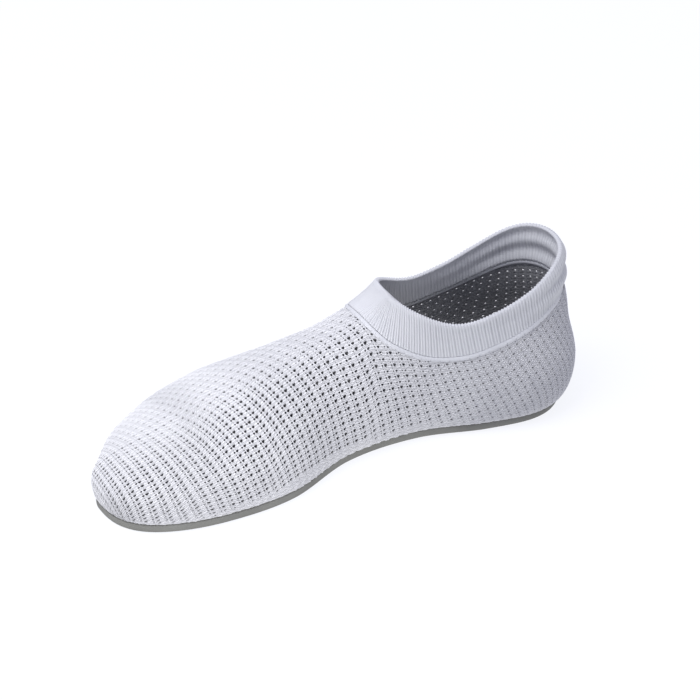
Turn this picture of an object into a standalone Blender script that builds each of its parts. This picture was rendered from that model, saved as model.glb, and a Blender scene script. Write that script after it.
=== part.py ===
"""Right-foot knitted house slipper: an openwork upper with a ribbed collar on a flat foam sole.

Tables and sizes are in millimetres, and the meshes are made in metres. On the worktable the sole's heel end
is at x = 0, the toe points along +X, the big-toe side along +Y and the floor is z = 0. The finished pieces are
then shifted so that the origin is under the middle of the slipper's box.
"""
from typing import NamedTuple

import bmesh
import bpy
import numpy as np

MM = 0.001

# Driving sizes, in millimetres
SOLE_LENGTH = 256.0
SOLE_THICK = 4.5
SOLE_EDGE_ROUND = 0.7
INSOLE_THICK = 2.0
INSOLE_INSET = 2.6
KNIT_WALL = 1.6
CUFF_WALL = 2.4
CUFF_PROUD = 0.5
SEAM_WIDTH = 2.2
SEAM_PROUD = 0.9
PIECE_GAP = 0.3
FEATHER_INSET = 0.8
HEEL_FAN_X = 34.0
TOE_FAN_X = 214.0
ANKLE_Z = 64.0
TOE_FALL = 0.28
TOE_FULLNESS = 2.15

# The cuff's two soft folds behind the heel: height shares on the band, half height, depth, share of the ring
FOLD_HEIGHTS = (0.34, 0.82)
FOLD_SPREAD = 0.15
FOLD_DEPTH = 2.2
FOLD_ARC = 0.13

# Rounding of the footbed's top edge, the cuff's top edge and the sole's cut edges
FOOTBED_EASE = 0.6
CUFF_EDGE_SHARE = 0.35
EDGE_MIDWAY = 0.3

# How finely the pieces are faceted
COLLAR_STEPS = 32
FRONT_STEPS = 21
TUCK_ROWS = 3
WALL_ROWS = 9
SOLE_STEPS = 44
CUFF_ROWS = 7
SEAM_ROWS = 4

# Search for the collar's line on the last: where the throat lies, how often a step is halved, samples on a line
THROAT_TURNS = (0.3, 0.6)
HALVINGS = 40
LINE_SAMPLES = 400

# Meshing: merge distance in metres, and the angle above which an edge stays sharp
MERGE = 0.00001
SHARP_DEGREES = 40


class PlanRow(NamedTuple):
    """Sole outline: turn is the half-turn share from heel to toe, inner and outer are the edge's y."""
    turn: float
    inner: float
    outer: float


class LastRow(NamedTuple):
    """One section of the last, at x, with its ridge, its crown height and the way its walls swell."""
    x: float
    ridge_y: float
    crown_z: float
    swell_in: float
    swell_out: float
    swell_z: float
    fullness_in: float
    fullness_out: float
    ankle_draw: float


class CollarRow(NamedTuple):
    """Side view of the collar: heights of the upper's edge and of the cuff's top edge, at x."""
    x: float
    seam_z: float
    top_z: float


PLAN = (
    PlanRow(0.00, 0.0, 0.0),
    PlanRow(0.10, 19.0, -18.5),
    PlanRow(0.20, 28.8, -28.0),
    PlanRow(0.30, 26.8, -32.0),
    PlanRow(0.40, 18.6, -34.5),
    PlanRow(0.50, 22.2, -38.0),
    PlanRow(0.60, 40.4, -43.0),
    PlanRow(0.70, 44.4, -46.0),
    PlanRow(0.80, 40.2, -30.5),
    PlanRow(0.90, 28.5, -8.0),
    PlanRow(0.95, 19.0, -1.2),
    PlanRow(1.00, 6.0, 6.0),
)

LAST = (
    LastRow(34.0, 0.0, 160.0, 8.0, 8.0, 27.0, 2.30, 2.30, 7.5),
    LastRow(60.0, 0.0, 134.0, 5.5, 5.0, 26.0, 2.20, 2.20, 4.0),
    LastRow(90.0, 1.0, 84.5, 5.0, 4.0, 24.0, 2.10, 2.10, 1.0),
    LastRow(120.0, 3.0, 65.5, 6.0, 3.0, 22.0, 2.00, 2.00, 0.0),
    LastRow(150.0, 6.0, 59.0, 3.0, 2.0, 19.0, 2.00, 1.95, 0.0),
    LastRow(180.0, 9.0, 54.0, 1.5, 1.5, 17.0, 2.05, 1.92, 0.0),
    LastRow(205.0, 11.0, 44.5, 1.5, 1.5, 14.5, 2.10, 1.90, 0.0),
    LastRow(225.0, 12.0, 38.5, 1.5, 1.5, 13.0, 2.10, 1.90, 0.0),
)

COLLAR = (
    CollarRow(0.0, 66.0, 91.0),
    CollarRow(14.0, 62.3, 85.0),
    CollarRow(32.0, 54.8, 75.0),
    CollarRow(50.0, 49.0, 67.3),
    CollarRow(70.0, 45.2, 64.0),
    CollarRow(86.0, 47.8, 70.5),
    CollarRow(98.0, 54.0, 79.5),
    CollarRow(107.0, 60.8, 91.0),
    CollarRow(113.0, 68.0, 100.0),
    CollarRow(120.0, 80.0, 112.0),
)


class Side:
    """Signs of the two halves of the last."""
    INNER = 1
    OUTER = -1


def along(table, key, value, at):
    """Smooth curve through a table's column, read at the places `at` (ends held level)."""
    knots = np.array([getattr(row, key) for row in table])
    heights = np.array([getattr(row, value) for row in table])
    gaps = np.diff(knots)
    rises = np.diff(heights) / gaps
    slopes = np.empty_like(heights)
    slopes[1:-1] = (rises[:-1] * gaps[1:] + rises[1:] * gaps[:-1]) / (gaps[1:] + gaps[:-1])
    slopes[0] = 1.5 * rises[0] - 0.5 * slopes[1]
    slopes[-1] = 1.5 * rises[-1] - 0.5 * slopes[-2]
    place = np.clip(np.asarray(at, float), knots[0], knots[-1])
    cell = np.clip(np.searchsorted(knots, place) - 1, 0, len(gaps) - 1)
    t = (place - knots[cell]) / gaps[cell]
    start = (2 * t**3 - 3 * t**2 + 1) * heights[cell] + (t**3 - 2 * t**2 + t) * gaps[cell] * slopes[cell]
    end = (3 * t**2 - 2 * t**3) * heights[cell + 1] + (t**3 - t**2) * gaps[cell] * slopes[cell + 1]
    return start + end


def sole_edge(turn, side):
    """Outline of the sole: x and y of its edge at the half-turn share `turn`."""
    x = SOLE_LENGTH / 2 * (1 - np.cos(np.pi * np.asarray(turn, float)))
    return x, along(PLAN, "turn", "inner" if side > 0 else "outer", turn)


def fan(turn, side):
    """Spine point that a wall section springs from, its outward direction and its reach to the sole's edge."""
    x, y = sole_edge(turn, side)
    spine_x = np.clip(x, HEEL_FAN_X, TOE_FAN_X)
    spine_y = along(LAST, "x", "ridge_y", spine_x)
    reach = np.hypot(x - spine_x, y - spine_y)
    return spine_x, spine_y, (x - spine_x) / reach, (y - spine_y) / reach, reach


def wall_power(turn, side, spine_x):
    """Exponent of a wall section's curve, eased to one value for both halves at the toe's tip."""
    fullness = along(LAST, "x", "fullness_in" if side > 0 else "fullness_out", spine_x)
    tip = np.clip((sole_edge(turn, side)[0] - TOE_FAN_X) / (SOLE_LENGTH - TOE_FAN_X), 0, 1)
    ease = tip**2 * (3 - 2 * tip)
    return 2 / (fullness + (TOE_FULLNESS - fullness) * ease)


def last_point(turn, angle, side):
    """Point on the outside of the last: angle -90 at the sole, 0 where the wall is widest, 90 on the ridge."""
    spine_x, spine_y, out_x, out_y, reach = fan(turn, side)
    crown = along(LAST, "x", "crown_z", spine_x)
    swell = along(LAST, "x", "swell_in" if side > 0 else "swell_out", spine_x)
    swell_z = along(LAST, "x", "swell_z", spine_x)
    draw = along(LAST, "x", "ankle_draw", spine_x)
    power = wall_power(turn, side, spine_x)
    cos = np.abs(np.cos(np.radians(angle)))
    sin = np.abs(np.sin(np.radians(angle)))
    above = np.asarray(angle) >= 0
    widest = reach + swell
    foot_z = SOLE_THICK + PIECE_GAP
    toe_run = np.where(spine_x >= TOE_FAN_X, np.maximum(out_x, 0) * widest * cos**power, 0)
    rise = crown - TOE_FALL * toe_run - swell_z
    z = np.where(above, swell_z + rise * sin**power, swell_z - (swell_z - foot_z) * sin)
    lift = np.clip((z - swell_z) / (ANKLE_Z - swell_z), 0, 1)
    upper_r = (widest - draw * lift**2 * (3 - 2 * lift)) * cos**power
    tuck_r = widest - (swell + FEATHER_INSET) * (1 - cos)
    r = np.where(above, upper_r, tuck_r)
    return np.stack([spine_x + out_x * r, spine_y + out_y * r, z + 0 * r], -1)


def cut_angle(turn, side, height):
    """Angle at which each wall section meets the collar's side-view curve, 90 where it passes below it."""
    low = np.zeros_like(turn)
    high = np.full_like(turn, 90.0)
    for _ in range(HALVINGS):
        mid = (low + high) / 2
        point = last_point(turn, mid, side)
        under = point[..., 2] < along(COLLAR, "x", height, point[..., 0])
        low = np.where(under, mid, low)
        high = np.where(under, high, mid)
    return high


def throat_turn(height):
    """Half-turn share where the collar's curve crosses the ridge, in front of the ankle."""
    low, high = THROAT_TURNS
    for _ in range(HALVINGS):
        mid = (low + high) / 2
        crown = last_point(mid, 90.0, Side.INNER)
        if crown[2] > along(COLLAR, "x", height, crown[0]):
            low = mid
        else:
            high = mid
    return low


def collar_line(side, height):
    """The collar's curve on one half of the last, heel to throat, at even steps of its own length."""
    share = np.linspace(0, 1, LINE_SAMPLES)
    turn = throat_turn(height) * np.sin(share * np.pi / 2)
    angle = cut_angle(turn, side, height)
    angle[-1] = 90.0
    points = last_point(turn, angle, side)
    run = np.concatenate([[0], np.cumsum(np.linalg.norm(np.diff(points, axis=0), axis=1))])
    even = np.linspace(0, run[-1], COLLAR_STEPS + 1)
    return np.interp(even, run, turn), np.interp(even, run, angle)


def around(outer, inner):
    """Join the two halves into one ring: outer side heel to toe, then inner side back to the heel."""
    return np.concatenate([outer, inner[-2:0:-1]])


class CollarBand:
    """The strip of the last between the upper's edge and the cuff's top edge, as a ring of stations."""

    def __init__(self):
        self.seam = {side: collar_line(side, "seam_z") for side in (Side.INNER, Side.OUTER)}
        self.top = {side: collar_line(side, "top_z") for side in (Side.INNER, Side.OUTER)}
        self.height = self.lengths()

    def half(self, side, share):
        """Points on one half for shares of the way (stations by columns) from seam to top edge."""
        seam_turn, seam_angle = (column[:, None] for column in self.seam[side])
        top_turn, top_angle = (column[:, None] for column in self.top[side])
        return last_point(seam_turn + (top_turn - seam_turn) * share,
                          seam_angle + (top_angle - seam_angle) * share, side)

    def ring(self, share):
        """Points all round the collar, for shares given per station and column."""
        outer = share[:COLLAR_STEPS + 1]
        inner = np.concatenate([share[:1], share[:COLLAR_STEPS - 1:-1]])
        return around(self.half(Side.OUTER, outer), self.half(Side.INNER, inner))

    def lengths(self):
        """Height of the band at each station, measured along the last."""
        share = np.tile(np.linspace(0, 1, CUFF_ROWS + 1), (2 * COLLAR_STEPS, 1))
        points = self.ring(share)
        return np.linalg.norm(np.diff(points, axis=1), axis=2).sum(axis=1)

    def back_share(self):
        """1 at the back of the heel, falling to 0 round its sides."""
        station = np.arange(2 * COLLAR_STEPS) / (2 * COLLAR_STEPS)
        distance = np.minimum(station, 1 - station)
        return np.exp(-((distance / FOLD_ARC) ** 2))

    def surface(self, share):
        """Points and outward directions on the band."""
        points = self.ring(share)
        across = np.gradient(points, axis=1)
        forward = np.roll(points, -1, axis=0) - np.roll(points, 1, axis=0)
        normal = np.cross(forward, across)
        return points, normal / np.linalg.norm(normal, axis=2, keepdims=True)


def box_middle():
    """Middle of the slipper's plan, found on the widest line of the walls."""
    turn = np.linspace(0, 1, 5 * LINE_SAMPLES + 1)
    angle = np.zeros_like(turn)
    points = np.concatenate([last_point(turn, angle, side)[:, :2] for side in (Side.INNER, Side.OUTER)])
    return (points.min(axis=0) + points.max(axis=0)) / 2


def ring_faces(stations, columns, closed_section):
    """Quads of a ring of stations, each with a row of columns, open or closed round its section."""
    faces = []
    for station in range(stations):
        following = (station + 1) % stations
        for column in range(columns if closed_section else columns - 1):
            beside = (column + 1) % columns
            faces.append((station * columns + column, following * columns + column,
                          following * columns + beside, station * columns + beside))
    return faces


def finish(name, colour, roughness):
    """Principled material of one piece."""
    material = bpy.data.materials.new(name)
    material.use_nodes = True
    shader = material.node_tree.nodes["Principled BSDF"]
    shader.inputs["Base Color"].default_value = (*colour, 1.0)
    shader.inputs["Roughness"].default_value = roughness
    shader.inputs["Metallic"].default_value = 0.0
    return material


def add_piece(name, points, faces, material, middle, parent):
    """Make one named object from points in millimetres, with its seams closed."""
    placed = (np.asarray(points).reshape(-1, 3) - np.array([*middle, 0.0])) * MM
    mesh = bpy.data.meshes.new(name)
    mesh.from_pydata(placed.tolist(), [], faces)
    shell = bmesh.new()
    shell.from_mesh(mesh)
    bmesh.ops.remove_doubles(shell, verts=shell.verts, dist=MERGE)
    shell.to_mesh(mesh)
    shell.free()
    mesh.materials.append(material)
    mesh.shade_smooth()
    mesh.set_sharp_from_angle(angle=np.radians(SHARP_DEGREES))
    piece = bpy.data.objects.new(name, mesh)
    bpy.context.scene.collection.objects.link(piece)
    piece.parent = parent
    return piece


def board(name, rings, material, middle, parent):
    """Flat piece cut to the sole's outline: rings of (inset, z) from its underside up to its top."""
    turn = np.linspace(0, 1, SOLE_STEPS + 1)
    loops = []
    for inset, z in rings:
        halves = []
        for side in (Side.OUTER, Side.INNER):
            spine_x, spine_y, out_x, out_y, reach = fan(turn, side)
            r = reach - inset
            halves.append(np.stack([spine_x + out_x * r, spine_y + out_y * r, np.full_like(r, z)], -1))
        loops.append(around(*halves))
    points = np.stack(loops, axis=1)
    stations, columns = points.shape[:2]
    faces = ring_faces(stations, columns, closed_section=False)
    for step in range(SOLE_STEPS):
        near = (step, step + 1)
        far = (-(step + 1) % stations, -step % stations)
        corners = list(dict.fromkeys(near + far))
        faces.append([corner * columns for corner in reversed(corners)])
        faces.append([corner * columns + columns - 1 for corner in corners])
    return add_piece(name, points, faces, material, middle, parent)


def build_outsole(middle, parent):
    """Flat foam sole with lightly rounded cut edges."""
    ease = SOLE_EDGE_ROUND
    midway = EDGE_MIDWAY * ease
    rings = ((ease, 0.0), (midway, midway), (0.0, ease), (0.0, SOLE_THICK - ease),
             (midway, SOLE_THICK - midway), (ease, SOLE_THICK))
    return board("outsole", rings, finish("grey_foam", (0.155, 0.155, 0.145), 0.85), middle, parent)


def build_insole(middle, parent):
    """Thin footbed that lies on the sole, inside the upper's lower edge."""
    floor = SOLE_THICK + PIECE_GAP
    top = floor + INSOLE_THICK
    rings = ((INSOLE_INSET, floor), (INSOLE_INSET, top - FOOTBED_EASE), (INSOLE_INSET + FOOTBED_EASE, top))
    return board("insole", rings, finish("footbed_cloth", (0.62, 0.62, 0.62), 0.9), middle, parent)


def build_upper(band, middle, parent):
    """Knitted wall from the sole's edge up to the collar seam, and over the ridge in front of it."""
    halves = []
    for side in (Side.OUTER, Side.INNER):
        collar_turn, collar_angle = band.seam[side]
        front_turn = np.linspace(collar_turn[-1], 1.0, FRONT_STEPS + 1)[1:]
        turn = np.concatenate([collar_turn, front_turn])[:, None]
        end = np.concatenate([collar_angle, np.full(FRONT_STEPS, 90.0)])[:, None]
        tuck = np.linspace(-90, 0, TUCK_ROWS + 1)[None, :-1] + 0 * end
        wall = np.linspace(0, 1, WALL_ROWS + 1)[None, :] * end
        halves.append(last_point(turn, np.concatenate([tuck, wall], axis=1), side))
    points = around(*halves)
    faces = ring_faces(*points.shape[:2], closed_section=False)
    upper = add_piece("upper", points, faces, finish("white_knit", (0.78, 0.78, 0.80), 0.9), middle, parent)
    wall = upper.modifiers.new("knit_wall", "SOLIDIFY")
    wall.thickness = KNIT_WALL * MM
    wall.offset = -1.0
    wall.use_even_offset = True
    wall.use_rim = True
    return upper


def closed_band(name, outside, inside, material, middle, parent):
    """Ring-shaped solid from its outer rows, seam to top, and its inner rows."""
    points = np.concatenate([outside, inside[:, ::-1]], axis=1)
    faces = ring_faces(*points.shape[:2], closed_section=True)
    return add_piece(name, points, faces, material, middle, parent)


def build_seam(band, middle, parent):
    """Raised overlock seam between the upper's edge and the cuff."""
    columns = np.linspace(0, 1, SEAM_ROWS + 1)
    share = (PIECE_GAP + SEAM_WIDTH * columns)[None, :] / band.height[:, None]
    points, normal = band.surface(share)
    dome = SEAM_PROUD * np.sin(np.pi * columns)[None, :, None]
    inside = (points - normal * KNIT_WALL)[:, ::SEAM_ROWS]
    return closed_band("collar_seam", points + normal * dome, inside,
                       finish("white_seam_thread", (0.86, 0.86, 0.87), 0.8), middle, parent)


def build_cuff(band, middle, parent):
    """Ribbed band with a rounded top edge and two soft folds behind the heel."""
    start = 2 * PIECE_GAP + SEAM_WIDTH
    columns = np.linspace(0, 1, CUFF_ROWS + 1)
    share = (start + (band.height[:, None] - start) * columns[None, :]) / band.height[:, None]
    points, normal = band.surface(share)
    folds = sum(np.exp(-(((columns - height) / FOLD_SPREAD) ** 2)) for height in FOLD_HEIGHTS)
    slack = FOLD_DEPTH * band.back_share()[:, None] * folds[None, :]
    easing = np.ones_like(columns)
    easing[-1] = CUFF_EDGE_SHARE
    outer = CUFF_PROUD * easing[None, :] + slack
    inner = (CUFF_PROUD - CUFF_WALL) * easing[None, :] + slack
    return closed_band("collar_cuff", points + normal * outer[..., None], points + normal * inner[..., None],
                       finish("white_rib_knit", (0.80, 0.80, 0.82), 0.9), middle, parent)


def main():
    """Clear the scene and build the slipper's five pieces under one empty."""
    for leftover in list(bpy.data.objects):
        bpy.data.objects.remove(leftover, do_unlink=True)
    slipper = bpy.data.objects.new("slipper", None)
    bpy.context.scene.collection.objects.link(slipper)
    middle = box_middle()
    band = CollarBand()
    build_outsole(middle, slipper)
    build_insole(middle, slipper)
    build_upper(band, middle, slipper)
    build_seam(band, middle, slipper)
    build_cuff(band, middle, slipper)


main()
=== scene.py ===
"""Looks of a right-foot knitted house slipper: openwork upper, ribbed cuff, overlocked seam and foam sole.

Sizes are in millimetres on the worktable, where the sole's heel end is at x = 0, the toe points along +X,
the big-toe side lies along +Y and the floor is z = 0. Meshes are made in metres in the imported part's frame.
"""

import logging
import math
from dataclasses import dataclass
from enum import Enum

import bpy
import numpy as np
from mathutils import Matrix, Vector


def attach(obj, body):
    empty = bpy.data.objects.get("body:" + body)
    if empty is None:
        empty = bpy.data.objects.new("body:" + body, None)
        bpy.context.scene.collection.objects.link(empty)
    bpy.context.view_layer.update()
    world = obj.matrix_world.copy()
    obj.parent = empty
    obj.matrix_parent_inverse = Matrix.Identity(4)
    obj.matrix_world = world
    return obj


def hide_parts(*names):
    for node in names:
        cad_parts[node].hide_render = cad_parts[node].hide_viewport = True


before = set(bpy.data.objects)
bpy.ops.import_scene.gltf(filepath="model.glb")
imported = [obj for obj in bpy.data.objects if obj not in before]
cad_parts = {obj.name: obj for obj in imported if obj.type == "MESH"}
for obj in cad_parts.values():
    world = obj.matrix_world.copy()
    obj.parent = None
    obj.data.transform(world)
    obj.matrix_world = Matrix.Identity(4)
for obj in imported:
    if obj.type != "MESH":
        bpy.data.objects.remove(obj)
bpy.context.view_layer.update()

LOG = logging.getLogger("slipper")
MM = 0.001
HALVINGS = 40
RIDGE_ANGLE = 90.0
SOLE_ANGLE = -90.0

Array = np.ndarray
Colour = tuple[float, float, float]
Place = tuple[float, float, float]


class Side(Enum):
    """The two halves of the slipper."""
    INNER = 1
    OUTER = -1


class CollarEdge(Enum):
    """The two lines that bound the collar band."""
    SEAM = "seam_z"
    TOP = "top_z"


def ease(share: Array | float) -> Array:
    """Smooth step from 0 to 1."""
    held = np.clip(share, 0.0, 1.0)
    return held * held * (3 - 2 * held)


def run_length(points: Array) -> Array:
    """Distance walked along a line of points, from its first point."""
    steps = np.linalg.norm(np.diff(points, axis=0), axis=-1)
    return np.concatenate([[0.0], np.cumsum(steps)])


def unit(vectors: Array) -> Array:
    """The vectors, each of length one."""
    return vectors / np.maximum(np.linalg.norm(vectors, axis=-1, keepdims=True), 1e-12)


@dataclass(frozen=True)
class Curve:
    """Smooth curve through knots, held level beyond its ends."""
    knots: tuple[float, ...]
    heights: tuple[float, ...]

    def at(self, place: Array | float) -> Array:
        """Read the curve.

        Args:
            place: where to read it.

        Returns:
            Its height at each place.
        """
        knots = np.array(self.knots)
        heights = np.array(self.heights)
        gaps = np.diff(knots)
        rises = np.diff(heights) / gaps
        slopes = np.empty_like(heights)
        slopes[1:-1] = (rises[:-1] * gaps[1:] + rises[1:] * gaps[:-1]) / (gaps[1:] + gaps[:-1])
        slopes[0] = 1.5 * rises[0] - 0.5 * slopes[1]
        slopes[-1] = 1.5 * rises[-1] - 0.5 * slopes[-2]
        held = np.clip(np.asarray(place, float), knots[0], knots[-1])
        cell = np.clip(np.searchsorted(knots, held) - 1, 0, len(gaps) - 1)
        t = (held - knots[cell]) / gaps[cell]
        start = ((2 * t**3 - 3 * t**2 + 1) * heights[cell]
                 + (t**3 - 2 * t**2 + t) * gaps[cell] * slopes[cell])
        end = ((3 * t**2 - 2 * t**3) * heights[cell + 1]
               + (t**3 - t**2) * gaps[cell] * slopes[cell + 1])
        return start + end


TURNS = (0.0, 0.1, 0.2, 0.3, 0.4, 0.5, 0.6, 0.7, 0.8, 0.9, 0.95, 1.0)
STATIONS = (34.0, 60.0, 90.0, 120.0, 150.0, 180.0, 205.0, 225.0)
COLLAR_X = (0.0, 14.0, 32.0, 50.0, 70.0, 86.0, 98.0, 107.0, 113.0, 120.0)


@dataclass(frozen=True)
class Last:
    """The form that the slipper is drawn over, with the same sizes as the solids of the part."""
    length: float = 256.0
    sole_thick: float = 4.5
    piece_gap: float = 0.3
    feather_inset: float = 0.8
    heel_fan_x: float = 34.0
    toe_fan_x: float = 214.0
    ankle_z: float = 64.0
    toe_fall: float = 0.28
    toe_fullness: float = 2.15
    throat_turns: tuple[float, float] = (0.3, 0.6)
    plan_steps: int = 2001
    edge_in: Curve = Curve(TURNS, (0.0, 19.0, 28.8, 26.8, 18.6, 22.2, 40.4, 44.4, 40.2, 28.5, 19.0, 6.0))
    edge_out: Curve = Curve(
        TURNS, (0.0, -18.5, -28.0, -32.0, -34.5, -38.0, -43.0, -46.0, -30.5, -8.0, -1.2, 6.0))
    ridge_y: Curve = Curve(STATIONS, (0.0, 0.0, 1.0, 3.0, 6.0, 9.0, 11.0, 12.0))
    crown_z: Curve = Curve(STATIONS, (160.0, 134.0, 84.5, 65.5, 59.0, 54.0, 44.5, 38.5))
    swell_in: Curve = Curve(STATIONS, (8.0, 5.5, 5.0, 6.0, 3.0, 1.5, 1.5, 1.5))
    swell_out: Curve = Curve(STATIONS, (8.0, 5.0, 4.0, 3.0, 2.0, 1.5, 1.5, 1.5))
    swell_z: Curve = Curve(STATIONS, (27.0, 26.0, 24.0, 22.0, 19.0, 17.0, 14.5, 13.0))
    fullness_in: Curve = Curve(STATIONS, (2.3, 2.2, 2.1, 2.0, 2.0, 2.05, 2.1, 2.1))
    fullness_out: Curve = Curve(STATIONS, (2.3, 2.2, 2.1, 2.0, 1.95, 1.92, 1.9, 1.9))
    ankle_draw: Curve = Curve(STATIONS, (7.5, 4.0, 1.0, 0.0, 0.0, 0.0, 0.0, 0.0))
    seam_z: Curve = Curve(COLLAR_X, (66.0, 62.3, 54.8, 49.0, 45.2, 47.8, 54.0, 60.8, 68.0, 80.0))
    top_z: Curve = Curve(COLLAR_X, (91.0, 85.0, 75.0, 67.3, 64.0, 70.5, 79.5, 91.0, 100.0, 112.0))

    @property
    def feather_z(self) -> float:
        """Height of the upper's lower edge, just clear of the sole."""
        return self.sole_thick + self.piece_gap

    def turn_at(self, x: float) -> float:
        """Half-turn share whose sole edge lies at x."""
        return math.acos(1 - 2 * x / self.length) / math.pi

    def edge(self, turn: Array, side: Side) -> tuple[Array, Array]:
        """x and y of the sole's edge at half-turn shares from heel to toe."""
        x = self.length / 2 * (1 - np.cos(np.pi * np.asarray(turn, float)))
        return x, (self.edge_in if side is Side.INNER else self.edge_out).at(turn)

    def fan(self, turn: Array, side: Side) -> tuple[Array, Array, Array, Array, Array]:
        """Where a wall section springs from the spine.

        Args:
            turn: half-turn shares from heel to toe.
            side: the half of the slipper.

        Returns:
            Spine x and y, outward x and y, and the reach to the sole's edge.
        """
        x, y = self.edge(turn, side)
        spine_x = np.clip(x, self.heel_fan_x, self.toe_fan_x)
        spine_y = self.ridge_y.at(spine_x)
        reach = np.hypot(x - spine_x, y - spine_y)
        return spine_x, spine_y, (x - spine_x) / reach, (y - spine_y) / reach, reach

    def wall_power(self, turn: Array, side: Side, spine_x: Array) -> Array:
        """Exponent of the wall's curve, eased to one value for both halves at the toe's tip.

        Args:
            turn: half-turn shares from heel to toe.
            side: the half of the slipper.
            spine_x: x of the spine at those shares.

        Returns:
            The exponents.
        """
        fullness = (self.fullness_in if side is Side.INNER else self.fullness_out).at(spine_x)
        tip = (self.edge(turn, side)[0] - self.toe_fan_x) / (self.length - self.toe_fan_x)
        return 2 / (fullness + (self.toe_fullness - fullness) * ease(tip))

    def point(self, turn: Array | float, angle: Array | float, side: Side) -> Array:
        """Points on the outside of the last.

        Args:
            turn: half-turn shares from heel to toe.
            angle: -90 at the sole, 0 where the wall is widest, 90 on the ridge.
            side: the half of the slipper.

        Returns:
            The points, with x, y and z in the last axis.
        """
        spine_x, spine_y, out_x, out_y, reach = self.fan(turn, side)
        swell = (self.swell_in if side is Side.INNER else self.swell_out).at(spine_x)
        swell_z = self.swell_z.at(spine_x)
        power = self.wall_power(turn, side, spine_x)
        cos = np.abs(np.cos(np.radians(angle)))
        sin = np.abs(np.sin(np.radians(angle)))
        above = np.asarray(angle) >= 0
        widest = reach + swell
        toe_run = np.where(spine_x >= self.toe_fan_x, np.maximum(out_x, 0) * widest * cos**power, 0)
        rise = self.crown_z.at(spine_x) - self.toe_fall * toe_run - swell_z
        z = np.where(above, swell_z + rise * sin**power, swell_z - (swell_z - self.feather_z) * sin)
        lift = ease((z - swell_z) / (self.ankle_z - swell_z))
        upper_r = (widest - self.ankle_draw.at(spine_x) * lift) * cos**power
        tuck_r = widest - (swell + self.feather_inset) * (1 - cos)
        r = np.where(above, upper_r, tuck_r)
        return np.stack([spine_x + out_x * r, spine_y + out_y * r, z + 0 * r], -1)

    def line_height(self, edge: CollarEdge, x: Array, raised: float) -> Array:
        """Height of a collar line in side view, raised by a few tenths where a piece tucks under it."""
        return getattr(self, edge.value).at(x) + raised

    def cut_angle(self, turn: Array, side: Side, edge: CollarEdge, raised: float = 0.0) -> Array:
        """Angle at which each wall section meets a collar line, 90 where it passes below it.

        Args:
            turn: half-turn shares from heel to toe.
            side: the half of the slipper.
            edge: the collar line.
            raised: how far above that line the cut lies.

        Returns:
            The angles in degrees.
        """
        low = np.zeros_like(turn)
        high = np.full_like(turn, RIDGE_ANGLE)
        for _ in range(HALVINGS):
            mid = (low + high) / 2
            point = self.point(turn, mid, side)
            under = point[..., 2] < self.line_height(edge, point[..., 0], raised)
            low = np.where(under, mid, low)
            high = np.where(under, high, mid)
        return high

    def throat_turn(self, edge: CollarEdge, raised: float = 0.0) -> float:
        """Half-turn share where a collar line crosses the ridge.

        Args:
            edge: the collar line.
            raised: how far above that line the cut lies.

        Returns:
            The share.
        """
        low, high = self.throat_turns
        for _ in range(HALVINGS):
            mid = (low + high) / 2
            crown = self.point(mid, RIDGE_ANGLE, Side.INNER)
            if crown[2] > self.line_height(edge, crown[0], raised):
                low = mid
            else:
                high = mid
        return low

    def middle(self) -> Array:
        """Middle of the plan, on the widest line of the walls, with z on the floor.

        Returns:
            The point, in millimetres.
        """
        turn = np.linspace(0, 1, self.plan_steps)
        plan = np.concatenate([self.point(turn, 0 * turn, side)[:, :2] for side in Side])
        return np.array([*((plan.min(axis=0) + plan.max(axis=0)) / 2), 0.0])

    def placed(self, points: Array) -> Array:
        """Worktable points in millimetres as metres in the part's frame."""
        return (np.asarray(points, float) - self.middle()) * MM


def put(tree: bpy.types.NodeTree, kind: str, settings: dict | None = None,
        feeds: dict | None = None) -> bpy.types.Node:
    """Add a node to a tree.

    Args:
        tree: a geometry or shader node tree.
        kind: the node's type name.
        settings: properties to set on the node.
        feeds: for each input, by name or place, the socket or plain value that feeds it.

    Returns:
        The new node.
    """
    made = tree.nodes.new(kind)
    for key, value in (settings or {}).items():
        setattr(made, key, value)
    for key, value in (feeds or {}).items():
        if isinstance(value, bpy.types.NodeSocket):
            tree.links.new(value, made.inputs[key])
        else:
            made.inputs[key].default_value = value
    return made


def calc(tree: bpy.types.NodeTree, operation: str, *values: object) -> bpy.types.NodeSocket:
    """One Math node's result, from sockets and plain values."""
    made = put(tree, "ShaderNodeMath", {"operation": operation}, dict(enumerate(values)))
    return made.outputs[0]


class GeometryTree:
    """A Geometry Nodes tree with named inputs, that turns an object into a plain mesh."""

    def __init__(self, name: str, inputs: dict[str, str]) -> None:
        """Start the tree.

        Args:
            name: the tree's name.
            inputs: socket type for each named input.
        """
        self.tree = bpy.data.node_groups.new(name, "GeometryNodeTree")
        face = self.tree.interface
        face.new_socket("Geometry", in_out="OUTPUT", socket_type="NodeSocketGeometry")
        face.new_socket("Geometry", in_out="INPUT", socket_type="NodeSocketGeometry")
        self.keys = {}
        for key, kind in inputs.items():
            self.keys[key] = face.new_socket(key, in_out="INPUT", socket_type=kind).identifier
        self.given = put(self.tree, "NodeGroupInput").outputs

    def close(self, geometry: bpy.types.NodeSocket) -> None:
        """Realize the geometry, give it its material and send it to the tree's output.

        Args:
            geometry: what the tree has made.
        """
        real = put(self.tree, "GeometryNodeRealizeInstances", feeds={"Geometry": geometry}).outputs[0]
        dressed = put(self.tree, "GeometryNodeSetMaterial",
                      feeds={"Geometry": real, "Material": self.given["Material"]}).outputs[0]
        put(self.tree, "NodeGroupOutput", feeds={"Geometry": dressed})

    def attach(self, carrier: bpy.types.Object, values: dict[str, object]) -> None:
        """Put the tree on an object, with a value for each named input.

        Args:
            carrier: the object.
            values: the value for each input.
        """
        modifier = carrier.modifiers.new(self.tree.name, "NODES")
        modifier.node_group = self.tree
        for key, value in values.items():
            modifier[self.keys[key]] = value


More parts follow.
